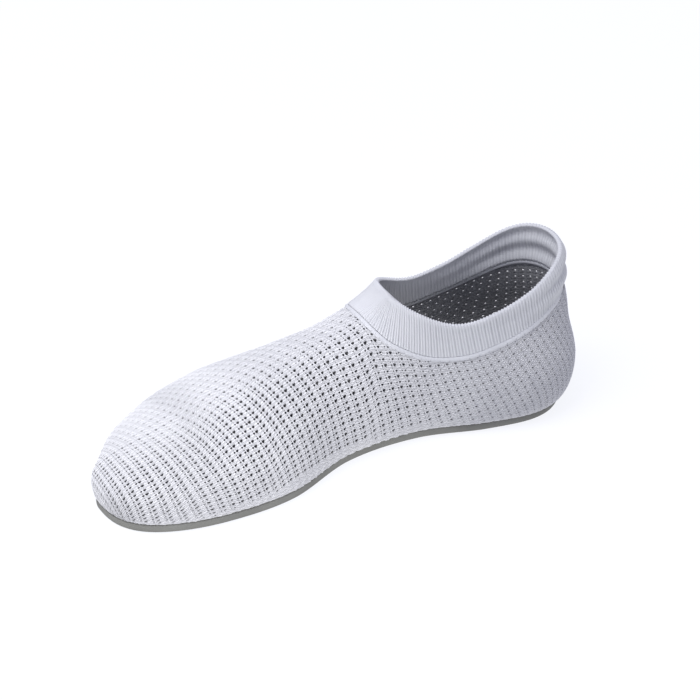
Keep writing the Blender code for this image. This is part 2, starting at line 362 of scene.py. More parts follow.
def loose_object(name: str, mesh: bpy.types.Mesh) -> bpy.types.Object:
    """Link a mesh into the scene as an object at the origin.

    Args:
        name: the object's name.
        mesh: its mesh.

    Returns:
        The object.
    """
    made = bpy.data.objects.new(name, mesh)
    bpy.context.scene.collection.objects.link(made)
    return made


def plain_mesh(points: Array, faces: list, name: str) -> bpy.types.Mesh:
    """Mesh from points and faces, smooth shaded.

    Args:
        points: the mesh's points.
        faces: corner numbers of each face.
        name: the mesh's name.

    Returns:
        The mesh.
    """
    mesh = bpy.data.meshes.new(name)
    mesh.from_pydata(np.asarray(points, float).reshape(-1, 3).tolist(), [], faces)
    mesh.shade_smooth()
    return mesh


def frozen(carrier: bpy.types.Object, name: str,
           helpers: tuple[bpy.types.Object, ...] = ()) -> bpy.types.Object:
    """Turn an object with modifiers into a plain piece.

    Args:
        carrier: the object whose modifiers make the piece. It is removed.
        name: the piece's name.
        helpers: objects that the modifiers read. They are removed too.

    Returns:
        The piece, at the origin and without modifiers.
    """
    graph = bpy.context.evaluated_depsgraph_get()
    mesh = bpy.data.meshes.new_from_object(carrier.evaluated_get(graph), depsgraph=graph)
    mesh.name = name
    for leftover in (carrier, *helpers):
        bpy.data.objects.remove(leftover, do_unlink=True)
    return loose_object(name, mesh)


def grid_faces(rows: int, columns: int, wrap_rows: bool = False, wrap_columns: bool = False) -> list:
    """Quads of a grid of points, given row after row, closed on itself where asked.

    Args:
        rows: rows of points.
        columns: points in a row.
        wrap_rows: whether the last row joins the first.
        wrap_columns: whether each row closes on itself.

    Returns:
        Corner numbers of each quad.
    """
    faces = []
    for row in range(rows if wrap_rows else rows - 1):
        beyond = (row + 1) % rows
        for column in range(columns if wrap_columns else columns - 1):
            beside = (column + 1) % columns
            faces.append((row * columns + column, beyond * columns + column,
                          beyond * columns + beside, row * columns + beside))
    return faces


def hand_in(piece: bpy.types.Object, node: str) -> None:
    """Parent the piece to the root body, hide the CAD node that it stands for, and log its triangles.

    Args:
        piece: the finished piece.
        node: the CAD node.
    """
    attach(piece, "root")
    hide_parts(node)
    piece.data.calc_loop_triangles()
    LOG.info("%s: %d triangles", piece.name, len(piece.data.loop_triangles))


class TileWrap:
    """Lays copies of a tile side by side and wraps them over a sheet, by the sheet's flat coordinates."""

    FLAT = "flat"
    OPEN = "openness"
    NORMAL = "outward"
    SHUT = "shut"
    WEAVE = "weave"
    BEYOND = "beyond"
    INPUTS = {
        "Tile": "NodeSocketObject",
        "Columns": "NodeSocketInt",
        "Rows": "NodeSocketInt",
        "Tile Length": "NodeSocketFloat",
        "Tile Height": "NodeSocketFloat",
        "Sheet Length": "NodeSocketFloat",
        "Sheet Height": "NodeSocketFloat",
        "Unevenness": "NodeSocketFloat",
        "Material": "NodeSocketMaterial",
    }
    WELD = 0.02
    SEWN = 0.000002
    NOISE_SCALE = 0.23
    NOISE_DETAIL = 2.0
    NOISE_MIDDLE = 0.5
    SHUT_MOST = 0.96

    def __init__(self) -> None:
        """Build the tree once, for every piece that is made of tiles."""
        self.geometry = GeometryTree("tile_wrap", self.INPUTS)
        sheet = self.geometry.given["Geometry"]
        tiles = self._laid_out()
        self.geometry.close(self._wrapped(tiles, sheet))

    def _laid_out(self) -> bpy.types.NodeSocket:
        """Flat field of tiles, welded along their edges.

        Returns:
            The field.
        """
        tree, given = self.geometry.tree, self.geometry.given
        span_x = calc(tree, "MULTIPLY", calc(tree, "SUBTRACT", given["Columns"], 1), given["Tile Length"])
        span_y = calc(tree, "MULTIPLY", calc(tree, "SUBTRACT", given["Rows"], 1), given["Tile Height"])
        grid = put(tree, "GeometryNodeMeshGrid", feeds={
            "Size X": span_x, "Size Y": span_y,
            "Vertices X": given["Columns"], "Vertices Y": given["Rows"]})
        shift = put(tree, "ShaderNodeCombineXYZ", feeds={
            "X": calc(tree, "MULTIPLY", span_x, 0.5), "Y": calc(tree, "MULTIPLY", span_y, 0.5)})
        corner = put(tree, "GeometryNodeTransform", feeds={"Geometry": grid.outputs["Mesh"],
                                                           "Translation": shift.outputs[0]})
        tile = put(tree, "GeometryNodeObjectInfo", feeds={"Object": given["Tile"]})
        placed = put(tree, "GeometryNodeInstanceOnPoints", feeds={"Points": corner.outputs[0],
                                                                 "Instance": tile.outputs["Geometry"]})
        real = put(tree, "GeometryNodeRealizeInstances", feeds={"Geometry": placed.outputs[0]})
        weld = put(tree, "GeometryNodeMergeByDistance",
                   feeds={"Geometry": real.outputs[0], "Distance": self.WELD})
        return weld.outputs[0]

    def _sampled(self, sheet: bpy.types.NodeSocket, kind: str, value: bpy.types.NodeSocket,
                 place: bpy.types.NodeSocket) -> bpy.types.Node:
        """Node that reads a value of the sheet at a flat place.

        Args:
            sheet: the sheet.
            kind: data type of the value.
            value: what is read.
            place: flat coordinates to read it at.

        Returns:
            The node.
        """
        flat = self._named("FLOAT_VECTOR", self.FLAT)
        return put(self.geometry.tree, "GeometryNodeSampleUVSurface", {"data_type": kind}, {
            "Mesh": sheet, "Value": value, "Source UV Map": flat, "Sample UV": place})

    def _named(self, kind: str, name: str) -> bpy.types.NodeSocket:
        """An attribute of the geometry, by its name."""
        return put(self.geometry.tree, "GeometryNodeInputNamedAttribute",
                   {"data_type": kind}, {"Name": name}).outputs[0]

    def _flat_place(self, x: bpy.types.NodeSocket, y: bpy.types.NodeSocket) -> bpy.types.NodeSocket:
        """Shares of the sheet's length and height, from millimetres on the cloth.

        Args:
            x: place along the cloth.
            y: place down the cloth.

        Returns:
            The flat coordinates.
        """
        tree, given = self.geometry.tree, self.geometry.given
        return put(tree, "ShaderNodeCombineXYZ", feeds={
            "X": calc(tree, "DIVIDE", x, given["Sheet Length"]),
            "Y": calc(tree, "DIVIDE", y, given["Sheet Height"])}).outputs[0]

    def _wrapped(self, tiles: bpy.types.NodeSocket, sheet: bpy.types.NodeSocket) -> bpy.types.NodeSocket:
        """Tiles with their openings drawn open or shut, carried onto the sheet.

        Args:
            tiles: the flat field of tiles.
            sheet: the sheet to wrap.

        Returns:
            The tiles on the sheet, cut off where the sheet ends.
        """
        tree, given = self.geometry.tree, self.geometry.given
        position = put(tree, "GeometryNodeInputPosition").outputs[0]
        flat = put(tree, "ShaderNodeSeparateXYZ", feeds={0: position}).outputs
        first = self._sampled(sheet, "FLOAT", self._named("FLOAT", self.OPEN),
                              self._flat_place(flat[0], flat[1]))
        noise = put(tree, "ShaderNodeTexNoise", {"noise_dimensions": "2D"},
                    {"Vector": position, "Scale": self.NOISE_SCALE, "Detail": self.NOISE_DETAIL})
        either_way = calc(tree, "SUBTRACT", noise.outputs[0], self.NOISE_MIDDLE)
        swing = calc(tree, "MULTIPLY", either_way, given["Unevenness"])
        opened = calc(tree, "MULTIPLY", first.outputs[0], calc(tree, "ADD", swing, 1.0))
        shut = put(tree, "ShaderNodeSeparateXYZ", feeds={0: self._named("FLOAT_VECTOR", self.SHUT)}).outputs
        hasty = calc(tree, "SUBTRACT", 1.0, calc(tree, "POWER", opened, shut[2]))
        closing = calc(tree, "MINIMUM", hasty, self.SHUT_MOST)
        x = calc(tree, "MULTIPLY_ADD", shut[0], closing, flat[0])
        y = calc(tree, "MULTIPLY_ADD", shut[1], closing, flat[1])
        place = self._flat_place(x, y)
        spot = self._sampled(sheet, "FLOAT_VECTOR", position, place)
        outward = self._sampled(sheet, "FLOAT_VECTOR", self._named("FLOAT_VECTOR", self.NORMAL), place)
        height = calc(tree, "MULTIPLY", flat[2], MM)
        raised = put(tree, "ShaderNodeVectorMath", {"operation": "SCALE"},
                     {0: outward.outputs[0], "Scale": height}).outputs[0]
        target = put(tree, "ShaderNodeVectorMath", {"operation": "ADD"},
                     {0: spot.outputs[0], 1: raised}).outputs[0]
        cloth = put(tree, "ShaderNodeCombineXYZ", feeds={"X": x, "Y": y, "Z": flat[2]}).outputs[0]
        noted = put(tree, "GeometryNodeStoreNamedAttribute",
                    {"data_type": "FLOAT_VECTOR", "domain": "POINT"},
                    {"Geometry": tiles, "Name": self.WEAVE, "Value": cloth}).outputs[0]
        outside = put(tree, "FunctionNodeBooleanMath", {"operation": "NOT"},
                      {0: spot.outputs["Is Valid"]}).outputs[0]
        held = put(tree, "GeometryNodeStoreNamedAttribute", {"data_type": "BOOLEAN", "domain": "POINT"},
                   {"Geometry": noted, "Name": self.BEYOND, "Value": outside}).outputs[0]
        moved = put(tree, "GeometryNodeSetPosition",
                    feeds={"Geometry": held, "Position": target}).outputs[0]
        kept = put(tree, "GeometryNodeDeleteGeometry", {"domain": "POINT"},
                   {"Geometry": moved, "Selection": self._named("BOOLEAN", self.BEYOND)}).outputs[0]
        clean = put(tree, "GeometryNodeRemoveAttribute",
                    feeds={"Geometry": kept, "Name": self.BEYOND}).outputs[0]
        sewn = put(tree, "GeometryNodeMergeByDistance",
                   feeds={"Geometry": clean, "Distance": self.SEWN}).outputs[0]
        return put(tree, "GeometryNodeSetShadeSmooth", feeds={"Geometry": sewn}).outputs[0]

    def attach(self, carrier: bpy.types.Object, sheet: "Sheet", tile: bpy.types.Object,
               tile_size: tuple[float, float], counts: tuple[int, int],
               material: bpy.types.Material, unevenness: float = 0.0) -> None:
        """Wrap a sheet's object in copies of a tile.

        Args:
            carrier: the sheet's object.
            sheet: the sheet.
            tile: the tile's object.
            tile_size: the tile's length and height.
            counts: how many tiles lie along the sheet and down it.
            material: finish of the tiles.
            unevenness: how much the openings differ from place to place.
        """
        self.geometry.attach(carrier, {
            "Tile": tile, "Columns": counts[0], "Rows": counts[1],
            "Tile Length": tile_size[0], "Tile Height": tile_size[1],
            "Sheet Length": sheet.length, "Sheet Height": sheet.height,
            "Unevenness": unevenness, "Material": material})


@dataclass
class Strip:
    """One curved grid of points, with its outward directions, flat coordinates and openness."""
    points: Array
    outward: Array
    flat: Array
    openness: Array


@dataclass
class Sheet:
    """Strips with shared flat coordinates, that tiles are wrapped over."""
    strips: list[Strip]
    origin: tuple[float, float]
    length: float
    height: float

    def gathered(self, part: str, width: int) -> Array:
        """One kind of value of all strips, point after point."""
        return np.concatenate([getattr(strip, part).reshape(-1, width) for strip in self.strips])

    def faces(self) -> list:
        """Faces of all strips.

        Returns:
            Corner numbers of each face.
        """
        faces = []
        first = 0
        for strip in self.strips:
            rows, columns = strip.points.shape[:2]
            faces += [tuple(corner + first for corner in face) for face in grid_faces(rows, columns)]
            first += rows * columns
        return faces

    def carrier(self, name: str, last: Last) -> bpy.types.Object:
        """Make the sheet an object that a tree of nodes can read.

        Args:
            name: the object's name.
            last: the form, for its place in the frame.

        Returns:
            The object, with the sheet's flat coordinates and attributes.
        """
        mesh = plain_mesh(last.placed(self.gathered("points", 3)), self.faces(), name)
        outward = mesh.attributes.new(TileWrap.NORMAL, "FLOAT_VECTOR", "POINT")
        outward.data.foreach_set("vector", self.gathered("outward", 3).astype(np.float32).ravel())
        openness = mesh.attributes.new(TileWrap.OPEN, "FLOAT", "POINT")
        openness.data.foreach_set("value", self.gathered("openness", 1).astype(np.float32).ravel())
        shares = self.gathered("flat", 2) / np.array([self.length, self.height])
        corners = np.zeros(len(mesh.loops), np.int32)
        mesh.loops.foreach_get("vertex_index", corners)
        layer = mesh.uv_layers.new(name=TileWrap.FLAT)
        layer.data.foreach_set("uv", shares[corners].astype(np.float32).ravel())
        return loose_object(name, mesh)


def tile_object(name: str, points: Array, faces: list, shut: Array | None = None) -> bpy.types.Object:
    """A flat tile as an object, in millimetres, with the way its openings close.

    Args:
        name: the object's name.
        points: x along the cloth, y down it and z as relief.
        faces: the tile's faces.
        shut: for each point, the move that closes its opening and how soon it is made.

    Returns:
        The tile.
    """
    mesh = plain_mesh(points, faces, name)
    moves = np.zeros((len(mesh.vertices), 3)) if shut is None else shut
    layer = mesh.attributes.new(TileWrap.SHUT, "FLOAT_VECTOR", "POINT")
    layer.data.foreach_set("vector", np.ascontiguousarray(moves, np.float32).ravel())
    return loose_object(name, mesh)


@dataclass(frozen=True)
class Swell:
    """A soft bump of the cloth: where it lies, how far it reaches and how high it stands."""
    x: float
    y: float
    z: float
    reach: float
    height: float

    def lift(self, points: Array) -> Array:
        """Height of the bump at each point."""
        away = np.linalg.norm(points - np.array([self.x, self.y, self.z]), axis=-1)
        return self.height * np.exp(-((away / self.reach) ** 2))


@dataclass(frozen=True)
class Eyelet:
    """A hole of the knit, between lines of its cell's grid.

    It narrows and slants downward, and shuts with some haste.
    """
    columns: tuple[int, int]
    rows: tuple[int, int]
    taper: float
    slant: float
    size: tuple[float, float]
    haste: float
    corner: float = 0.45

    def shaped(self, share: Array) -> Array:
        """Where a point of the hole's block goes, from its place between -1 and 1 both ways.

        Args:
            share: the point's place.

        Returns:
            Its new place, on the same scale.
        """
        wide = share[0] * math.sqrt(1 - self.corner * share[1] ** 2) * (1 + self.taper * share[1])
        tall = share[1] * math.sqrt(1 - self.corner * share[0] ** 2)
        return np.array([wide + self.slant * share[1], tall]) * np.array(self.size)


@dataclass(frozen=True)
class KnitCell:
    """One repeat of the openwork knit.

    It has six courses, with a large and a middling eyelet that each have two small ones.
    """
    length: float = 4.6
    height: float = 5.6
    columns: tuple[float, ...] = (0.0, 0.13, 0.26, 0.43, 0.60, 0.70, 0.87, 1.0)
    half_rows: tuple[float, ...] = (0.0, 0.055, 0.105, 0.15, 0.30, 0.45)
    ridge: float = 0.20
    furrow: float = -0.18
    rim: float = 0.0
    rim_share: float = 0.6
    loop: float = 0.10
    loops: int = 2
    eyelets: tuple[Eyelet, ...] = (
        Eyelet((2, 4), (3, 5), taper=-0.50, slant=0.20, size=(1.02, 1.18), haste=1.2),
        Eyelet((5, 6), (3, 5), taper=-0.10, slant=0.05, size=(1.38, 0.88), haste=4.0),
        Eyelet((5, 6), (1, 2), taper=0.0, slant=0.05, size=(1.20, 2.60), haste=5.0),
        Eyelet((2, 4), (9, 11), taper=-0.40, slant=0.15, size=(0.98, 0.95), haste=5.0),
        Eyelet((5, 6), (9, 11), taper=-0.10, slant=0.05, size=(1.30, 0.80), haste=6.0),
        Eyelet((5, 6), (7, 8), taper=0.0, slant=0.05, size=(1.10, 2.30), haste=6.0),
    )

    def grid(self) -> tuple[Array, int, int]:
        """Flat lines of the cell, with the courses' relief.

        Returns:
            The points, and how many columns and rows they form.
        """
        xs = np.array(self.columns) * self.length
        rows = np.array(self.half_rows)
        ys = np.concatenate([rows, rows + 0.5, [1.0]]) * self.height
        points = np.zeros((len(xs), len(ys), 3))
        points[..., 0] = xs[:, None]
        points[..., 1] = ys[None, :]
        row = np.arange(len(ys))
        crest = row % 2 == 1
        wave = np.cos(2 * np.pi * self.loops * np.array(self.columns)[:, None]
                      + np.pi * (row // 2)[None, :])
        points[..., 2] = np.where(crest, self.ridge + self.loop * wave, self.furrow)
        return points, len(xs), len(ys)

    def tile(self, origin: tuple[float, float]) -> bpy.types.Object:
        """The cell as a flat tile whose eyelets can be drawn open or shut, laid at a place on the sheet.

        Args:
            origin: where the first tile lies.

        Returns:
            The tile.
        """
        points, columns, rows = self.grid()
        shut = np.zeros_like(points)
        missing = set()
        for eyelet in self.eyelets:
            left, right = eyelet.columns
            low, high = eyelet.rows
            flat = points[..., :2].copy()
            middle = (flat[left, low] + flat[right, high]) / 2
            half = (flat[right, high] - flat[left, low]) / 2
            for column in range(left, right + 1):
                for row in range(low, high + 1):
                    reach = half * eyelet.shaped((flat[column, row] - middle) / half)
                    points[column, row, :2] = middle + reach
                    points[column, row, 2] = max(points[column, row, 2] * self.rim_share, self.rim)
                    shut[column, row] = (*-reach, eyelet.haste)
            missing.update((column, row) for column in range(left, right) for row in range(low, high))
        faces = [face for number, face in enumerate(grid_faces(columns, rows))
                 if (number // (rows - 1), number % (rows - 1)) not in missing]
        used = sorted({corner for face in faces for corner in face})
        order = {corner: place for place, corner in enumerate(used)}
        faces = [[order[corner] for corner in face] for face in faces]
        laid = points.reshape(-1, 3)[used] + np.array([*origin, 0.0])
        return tile_object("knit_cell", laid, faces, shut.reshape(-1, 3)[used])


@dataclass
class KnitCloth:
    """The upper's cloth: its wall lines on both sides, and where their points lie on the flat knit.

    Columns of the knit are counted from the heel and courses downward on the inner side. The knit runs on
    over the ridge in front of the throat, and is joined to itself at the back of the heel.
    """
    last: Last
    seam_tuck: float = 1.4
    sole_tuck: float = 1.6
    front_x: float = 140.0
    toe_back: float = 40.0
    toe_share: float = 0.9995
    back_stations: int = 110
    toe_stations: int = 80
    rows: int = 80
    back_fineness: int = 3
    toe_fineness: int = 2
    path_steps: int = 600
    margin_columns: int = 1
    margin_courses: float = 26.3
    join_step: float = 1 / 6
    lean_course: float = 6.0
    column_pitch: Curve = Curve(
        (0.0, 50.0, 80.0, 112.0, 130.0, 185.0, 196.0, 210.0, 220.0, 230.0,
         238.0, 250.0, 262.0, 275.0, 300.0),
        (4.4, 4.4, 4.0, 4.9, 5.15, 5.3, 4.9, 4.1, 4.35, 4.7, 5.2, 6.3, 6.0, 5.6, 5.2))
    course_height: Curve = Curve(
        (0.0, 50.0, 88.0, 100.0, 115.0, 130.0, 150.0, 163.0, 185.0, 207.0,
         227.0, 233.0, 240.0, 250.0, 264.0, 275.0),
        (4.0, 4.05, 4.2, 4.6, 5.2, 6.0, 6.7, 6.55, 6.2, 5.9, 5.8, 5.6, 5.0, 4.2, 4.3, 4.6))
    outer_height: Curve = Curve(
        (0.0, 50.0, 88.0, 100.0, 115.0, 130.0, 150.0, 163.0, 185.0, 227.0, 262.0, 311.0),
        (4.0, 4.05, 4.2, 4.6, 5.2, 6.0, 6.7, 6.55, 6.2, 5.8, 5.5, 5.3))
    ridge_course: Curve = Curve(
        (140.0, 152.0, 163.0, 175.0, 185.0, 193.0, 207.0, 214.0,
         227.0, 233.0, 240.0, 250.0, 259.0, 269.0, 280.0, 311.0),
        (-3.1, -2.98, -2.85, -3.08, -3.44, -3.78, -4.47, -4.9,
         -4.98, -5.18, -5.92, -7.3, -7.63, -7.61, -7.13, -6.9))
    heel_courses: Curve = Curve((0.0, 30.0, 50.0, 60.0, 70.0, 80.0, 88.0, 100.0, 115.0, 130.0, 143.0),
                                (8.3, 7.3, 6.15, 5.4, 4.45, 3.35, 2.43, 1.45, 0.5, 0.2, 0.0))
    lean: Curve = Curve((0.0, 50.0, 88.0, 120.0, 190.0, 227.0, 262.0, 311.0),
                        (0.0, 0.38, 0.43, 0.32, 0.29, 0.38, 0.22, 0.10))
    open_along: Curve = Curve((0.0, 50.0, 90.0, 115.0, 150.0, 185.0, 215.0, 260.0, 285.0, 311.0),
                              (0.90, 0.90, 0.90, 0.93, 0.97, 1.0, 1.0, 0.98, 1.0, 1.0))
    plain_band: Curve = Curve((0.0, 120.0, 170.0, 200.0, 240.0, 300.0), (2.5, 5.0, 8.0, 6.0, 2.0, 0.5))
    plain_share: float = 0.3
    plain_blend: float = 2.0
    least_open: float = 0.06
    outer_drawn: float = 0.24
    outer_reach: float = 18.0
    outer_start: float = 40.0
    outer_end: float = 300.0
    pleat_height: float = 0.35
    pleat_pitch: float = 5.4
    pleat_reach: float = 5.0
    pleat_foot: float = 1.5
    pleat_middle: float = 165.0
    pleat_spread: float = 45.0
    toe_swells: tuple[Swell, ...] = (
        Swell(236.0, 22.0, 34.0, 12.0, 0.5),
        Swell(229.0, 4.0, 36.0, 10.0, 0.4),
        Swell(217.0, -11.0, 36.0, 10.0, 0.3),
        Swell(203.0, -23.0, 36.0, 10.0, 0.4),
        Swell(186.0, -34.0, 33.0, 10.0, 0.5),
    )
    heel_swell: Swell = Swell(6.0, 13.0, 59.0, 11.0, 2.2)

    def back_turns(self) -> tuple[Array, Array]:
        """Half-turn shares at even steps from the heel, and how far along the cloth each lies.

        Returns:
            The shares and the distances.
        """
        turn = np.linspace(0, self.last.turn_at(self.front_x), self.path_steps)
        run = np.mean([run_length(self.last.point(turn, 0 * turn, side)) for side in Side], axis=0)
        along = np.linspace(0, run[-1], self.back_stations)
        return np.interp(along, run, turn), along

    def throat_along(self) -> float:
        """How far along the cloth the collar seam crosses the ridge."""
        turn, along = self.back_turns()
        return float(np.interp(self.last.throat_turn(CollarEdge.SEAM, self.seam_tuck), turn, along))

    def back_sections(self, turn: Array, side: Side) -> Array:
        """Wall lines behind the toe, from the top of the cloth to the sole, at even steps.

        Args:
            turn: half-turn share of each line.
            side: the half of the slipper.

        Returns:
            The points of each line.
        """
        throat = self.last.throat_turn(CollarEdge.SEAM, self.seam_tuck)
        cut = self.last.cut_angle(turn, side, CollarEdge.SEAM, self.seam_tuck)
        top = np.where(turn < throat, cut, RIDGE_ANGLE)[:, None]
        angle = top + (SOLE_ANGLE - top) * np.linspace(0, 1, self.back_fineness * self.rows)
        return self.even_lines(self.last.point(turn[:, None], angle, side))

    def toe_path(self) -> tuple[Array, Array]:
        """The ridge from the front stations over the toe to the sole: its points and the angle of each.

        Returns:
            The points and the angles.
        """
        turn = np.linspace(self.last.turn_at(self.front_x), self.last.turn_at(self.last.toe_fan_x),
                           self.path_steps)
        fall = np.linspace(RIDGE_ANGLE, SOLE_ANGLE, self.path_steps)
        angle = np.concatenate([np.full_like(turn, RIDGE_ANGLE), fall])
        return self.last.point(np.concatenate([turn, np.ones_like(fall)]), angle, Side.INNER), angle

    def feather_points(self, side: Side, share: Array) -> Array:
        """Points on the upper's lower edge, at shares of its length from front stations to toe tip.

        Args:
            side: the half of the slipper.
            share: shares of the edge's length.

        Returns:
            The points.
        """
        turn = np.linspace(self.last.turn_at(self.front_x), 1, self.path_steps)
        line = self.last.point(turn, np.full_like(turn, SOLE_ANGLE), side)
        run = run_length(line)
        return np.stack([np.interp(share * run[-1], run, line[:, axis]) for axis in range(3)], -1)

    def toe_sections(self, side: Side) -> tuple[Array, Array]:
        """Wall lines over the toe, on planes that lean with it.

        Args:
            side: the half of the slipper.

        Returns:
            The points of each line, and how far along the ridge each line starts.
        """
        ridge, ridge_angle = self.toe_path()
        run = run_length(ridge)
        share = np.linspace(0, self.toe_share, self.toe_stations + 1)[1:]
        start = np.stack([np.interp(share * run[-1], run, ridge[:, axis]) for axis in range(3)], -1)
        top = np.interp(share * run[-1], run, ridge_angle)[:, None]
        plane = unit(np.cross(self.feather_points(Side.INNER, share) - start,
                              self.feather_points(Side.OUTER, share) - start))
        plane *= np.sign(plane[:, :1])
        angle = top + (SOLE_ANGLE - top) * np.linspace(0, 1, self.toe_fineness * self.rows)
        low = np.full_like(angle, self.last.turn_at(self.front_x - self.toe_back))
        high = np.ones_like(angle)
        for _ in range(HALVINGS):
            mid = (low + high) / 2
            offset = self.last.point(mid, angle, side) - start[:, None, :]
            behind = np.einsum("krc,kc->kr", offset, plane) < 0
            low = np.where(behind, mid, low)
            high = np.where(behind, high, mid)
        lines = self.last.point(high, angle, side)
        lines[:, 0] = start
        return self.even_lines(lines), share * run[-1]

    def even_lines(self, lines: Array) -> Array:
        """Each line of points, at even steps of its own length.

        Args:
            lines: points of each line.

        Returns:
            The points at even steps.
        """
        even = np.linspace(0, 1, self.rows)
        result = np.empty((len(lines), self.rows, 3))
        for number, line in enumerate(lines):
            run = run_length(line)
            for axis in range(3):
                result[number, :, axis] = np.interp(even * run[-1], run, line[:, axis])
        return result

    def wall_lines(self) -> tuple[dict[Side, Array], Array]:
        """All wall lines from heel to toe on each side, and how far along the cloth each lies.

        Returns:
            The lines, by side, and the distances.
        """
        turn, along = self.back_turns()
        lines = {}
        for side in Side:
            toe, toe_along = self.toe_sections(side)
            lines[side] = np.concatenate([self.back_sections(turn, side), toe])
        return lines, np.concatenate([along, along[-1] + toe_along])

    def heights(self, side: Side) -> Curve:
        """Height of the courses along one side."""
        return self.course_height if side is Side.INNER else self.outer_height

    def courses(self, side: Side, along: Array, girth: dict[Side, Array]) -> Array:
        """Course number of each point of the wall lines.

        Args:
            side: the half of the slipper.
            along: how far from the heel each line lies.
            girth: length of the lines on each side.

        Returns:
            The numbers, by line and by even step down the line.
        """
        throat = self.throat_along()
        front = along >= throat
        first = int(np.argmax(front))
        ridge = self.ridge_course.at(along)
        reach = {half: girth[half] / self.heights(half).at(along) for half in Side}
        foot = ridge + reach[Side.INNER]
        foot = np.where(front, foot, foot[first] + self.heel_courses.at(along))
        up = reach[side][:, None] * np.linspace(1, 0, self.rows)
        if side is Side.INNER:
            return foot[:, None] - up
        outer_foot = ridge - reach[Side.OUTER]
        mirror = foot[first] + outer_foot[first]
        joined = round(mirror / self.join_step) * self.join_step
        behind = mirror + (joined - mirror) * ease((throat - along) / throat) - foot
        return np.where(front, outer_foot, behind)[:, None] + up

    def columns(self, side: Side, along: Array, course: Array) -> Array:
        """Column number of each point of the wall lines, from the course numbers of those points.

        Args:
            side: the half of the slipper.
            along: how far from the heel each line lies.
            course: course number of each point.

        Returns:
            The column numbers.
        """
        throat = self.throat_along()
        lean = self.lean.at(along)
        if side is Side.OUTER:
            lean = np.where(along < throat, self.lean.at(throat) * ease(along / throat), lean)
        fine = np.linspace(0, along[-1], self.path_steps)
        middle = (fine[1:] + fine[:-1]) / 2
        count = np.concatenate([[0.0], np.cumsum(np.diff(fine) / self.column_pitch.at(middle))])
        return np.interp(along, fine, count)[:, None] + lean[:, None] * (course - self.lean_course)

    def openness(self, side: Side, along: Array, up: Array, girth: Array) -> Array:
        """How far the eyelets open: wide on the inner side, less over the ridge, shut next to the sole.

        Args:
            side: the half of the slipper.
            along: how far from the heel each point lies.
            up: how far above the sole each point lies.
            girth: length of the wall line of each point.

        Returns:
            Shares of the full opening.
        """
        band = self.plain_band.at(along)
        opened = self.open_along.at(along) * ease(
            (up - band * self.plain_share) / (band + self.plain_blend))
        drawn = ease((1 - side.value * (girth - up) / self.outer_reach) / 2)
        start = 0.0 if side is Side.OUTER else self.throat_along()
        drawn *= (ease((along - start) / self.outer_start)
                  * ease((self.outer_end - along) / self.outer_start))
        return np.maximum(opened * (1 - self.outer_drawn * drawn), self.least_open)

    def drape(self, points: Array, along: Array, up: Array) -> Array:
        """Rises of the cloth at the toe end and under the heel's seam, and short pleats at the arch.

        Args:
            points: points of the cloth.
            along: how far from the heel each lies.
            up: how far above the sole each lies.

        Returns:
            How far each point rises.
        """
        pleats = np.sin(2 * np.pi * along / self.pleat_pitch) * np.exp(-((up / self.pleat_reach) ** 2))
        arch = np.exp(-(((along - self.pleat_middle) / self.pleat_spread) ** 2))
        lift = self.pleat_height * pleats * arch * ease(up / self.pleat_foot)
        return lift + sum(swell.lift(points) for swell in (*self.toe_swells, self.heel_swell))

    def strip(self, side: Side, lines: Array, along: Array, girth: dict[Side, Array],
              cell: KnitCell) -> Strip:
        """One side of the cloth, lapped a little over its edges.

        Args:
            side: the half of the slipper.
            lines: its wall lines.
            along: how far from the heel each line lies.
            girth: length of the lines on each side.
            cell: the knit's repeat.

        Returns:
            The strip, from heel to toe and from the top of the cloth down.
        """
        course = self.courses(side, along, girth)
        lapped = np.where(along < self.throat_along(), 1.0, 0.0)[:, None]
        over = course[:, :1] + lapped * (course[:, :1] - course[:, 1:2])
        tuck = side.value * self.sole_tuck / self.heights(side).at(along)
        course = np.concatenate([over, course, course[:, -1:] + tuck[:, None]], axis=1)
        column = self.columns(side, along, course)
        flat = np.stack([(column + self.margin_columns) * cell.length,
                         (course + self.margin_courses) * cell.height], -1)
        spine = np.stack([np.clip(lines[:, -1, 0], self.last.heel_fan_x, self.last.toe_fan_x),
                          self.last.ridge_y.at(lines[:, -1, 0]), lines[:, -1, 2]], -1)
        tucked = lines[:, -1] + unit(spine - lines[:, -1]) * self.sole_tuck
        over = lines[:, 0] + lapped * (lines[:, 0] - lines[:, 1])
        points = np.stack([over, *np.moveaxis(lines, 1, 0), tucked], axis=1)
        points = np.concatenate([2 * points[:1] - points[1:2], points])
        flat = np.concatenate([2 * flat[:1] - flat[1:2], flat])
        along = np.concatenate([along[:1], along])[:, None]
        own = np.concatenate([girth[side][:1], girth[side]])[:, None]
        step = own / (self.rows - 1)
        up = np.maximum(own + step - step * np.arange(self.rows + 2), 0)
        across = points[:, 2:] - points[:, :-2]
        outward = unit(np.cross(np.gradient(points, axis=0)[:, 1:-1], across)) * side.value
        outward = np.concatenate([outward[:, :1], outward, outward[:, -1:]], axis=1)
        shaped = points + outward * self.drape(points, along, up)[..., None]
        return Strip(shaped, outward, flat, self.openness(side, along, up, own))

    def sheet(self, cell: KnitCell) -> Sheet:
        """The whole cloth as a sheet with flat coordinates.

        Args:
            cell: the knit's repeat.

        Returns:
            The sheet.
        """
        lines, along = self.wall_lines()
        girth = {side: np.array([run_length(line)[-1] for line in lines[side]]) for side in Side}
        strips = [self.strip(side, lines[side], along, girth, cell) for side in Side]
        length, height = np.max([strip.flat.max(axis=(0, 1)) for strip in strips], axis=0)
        return Sheet(strips, (self.margin_columns * cell.length, 0.0), float(length) + cell.length,
                     float(height) + cell.height)


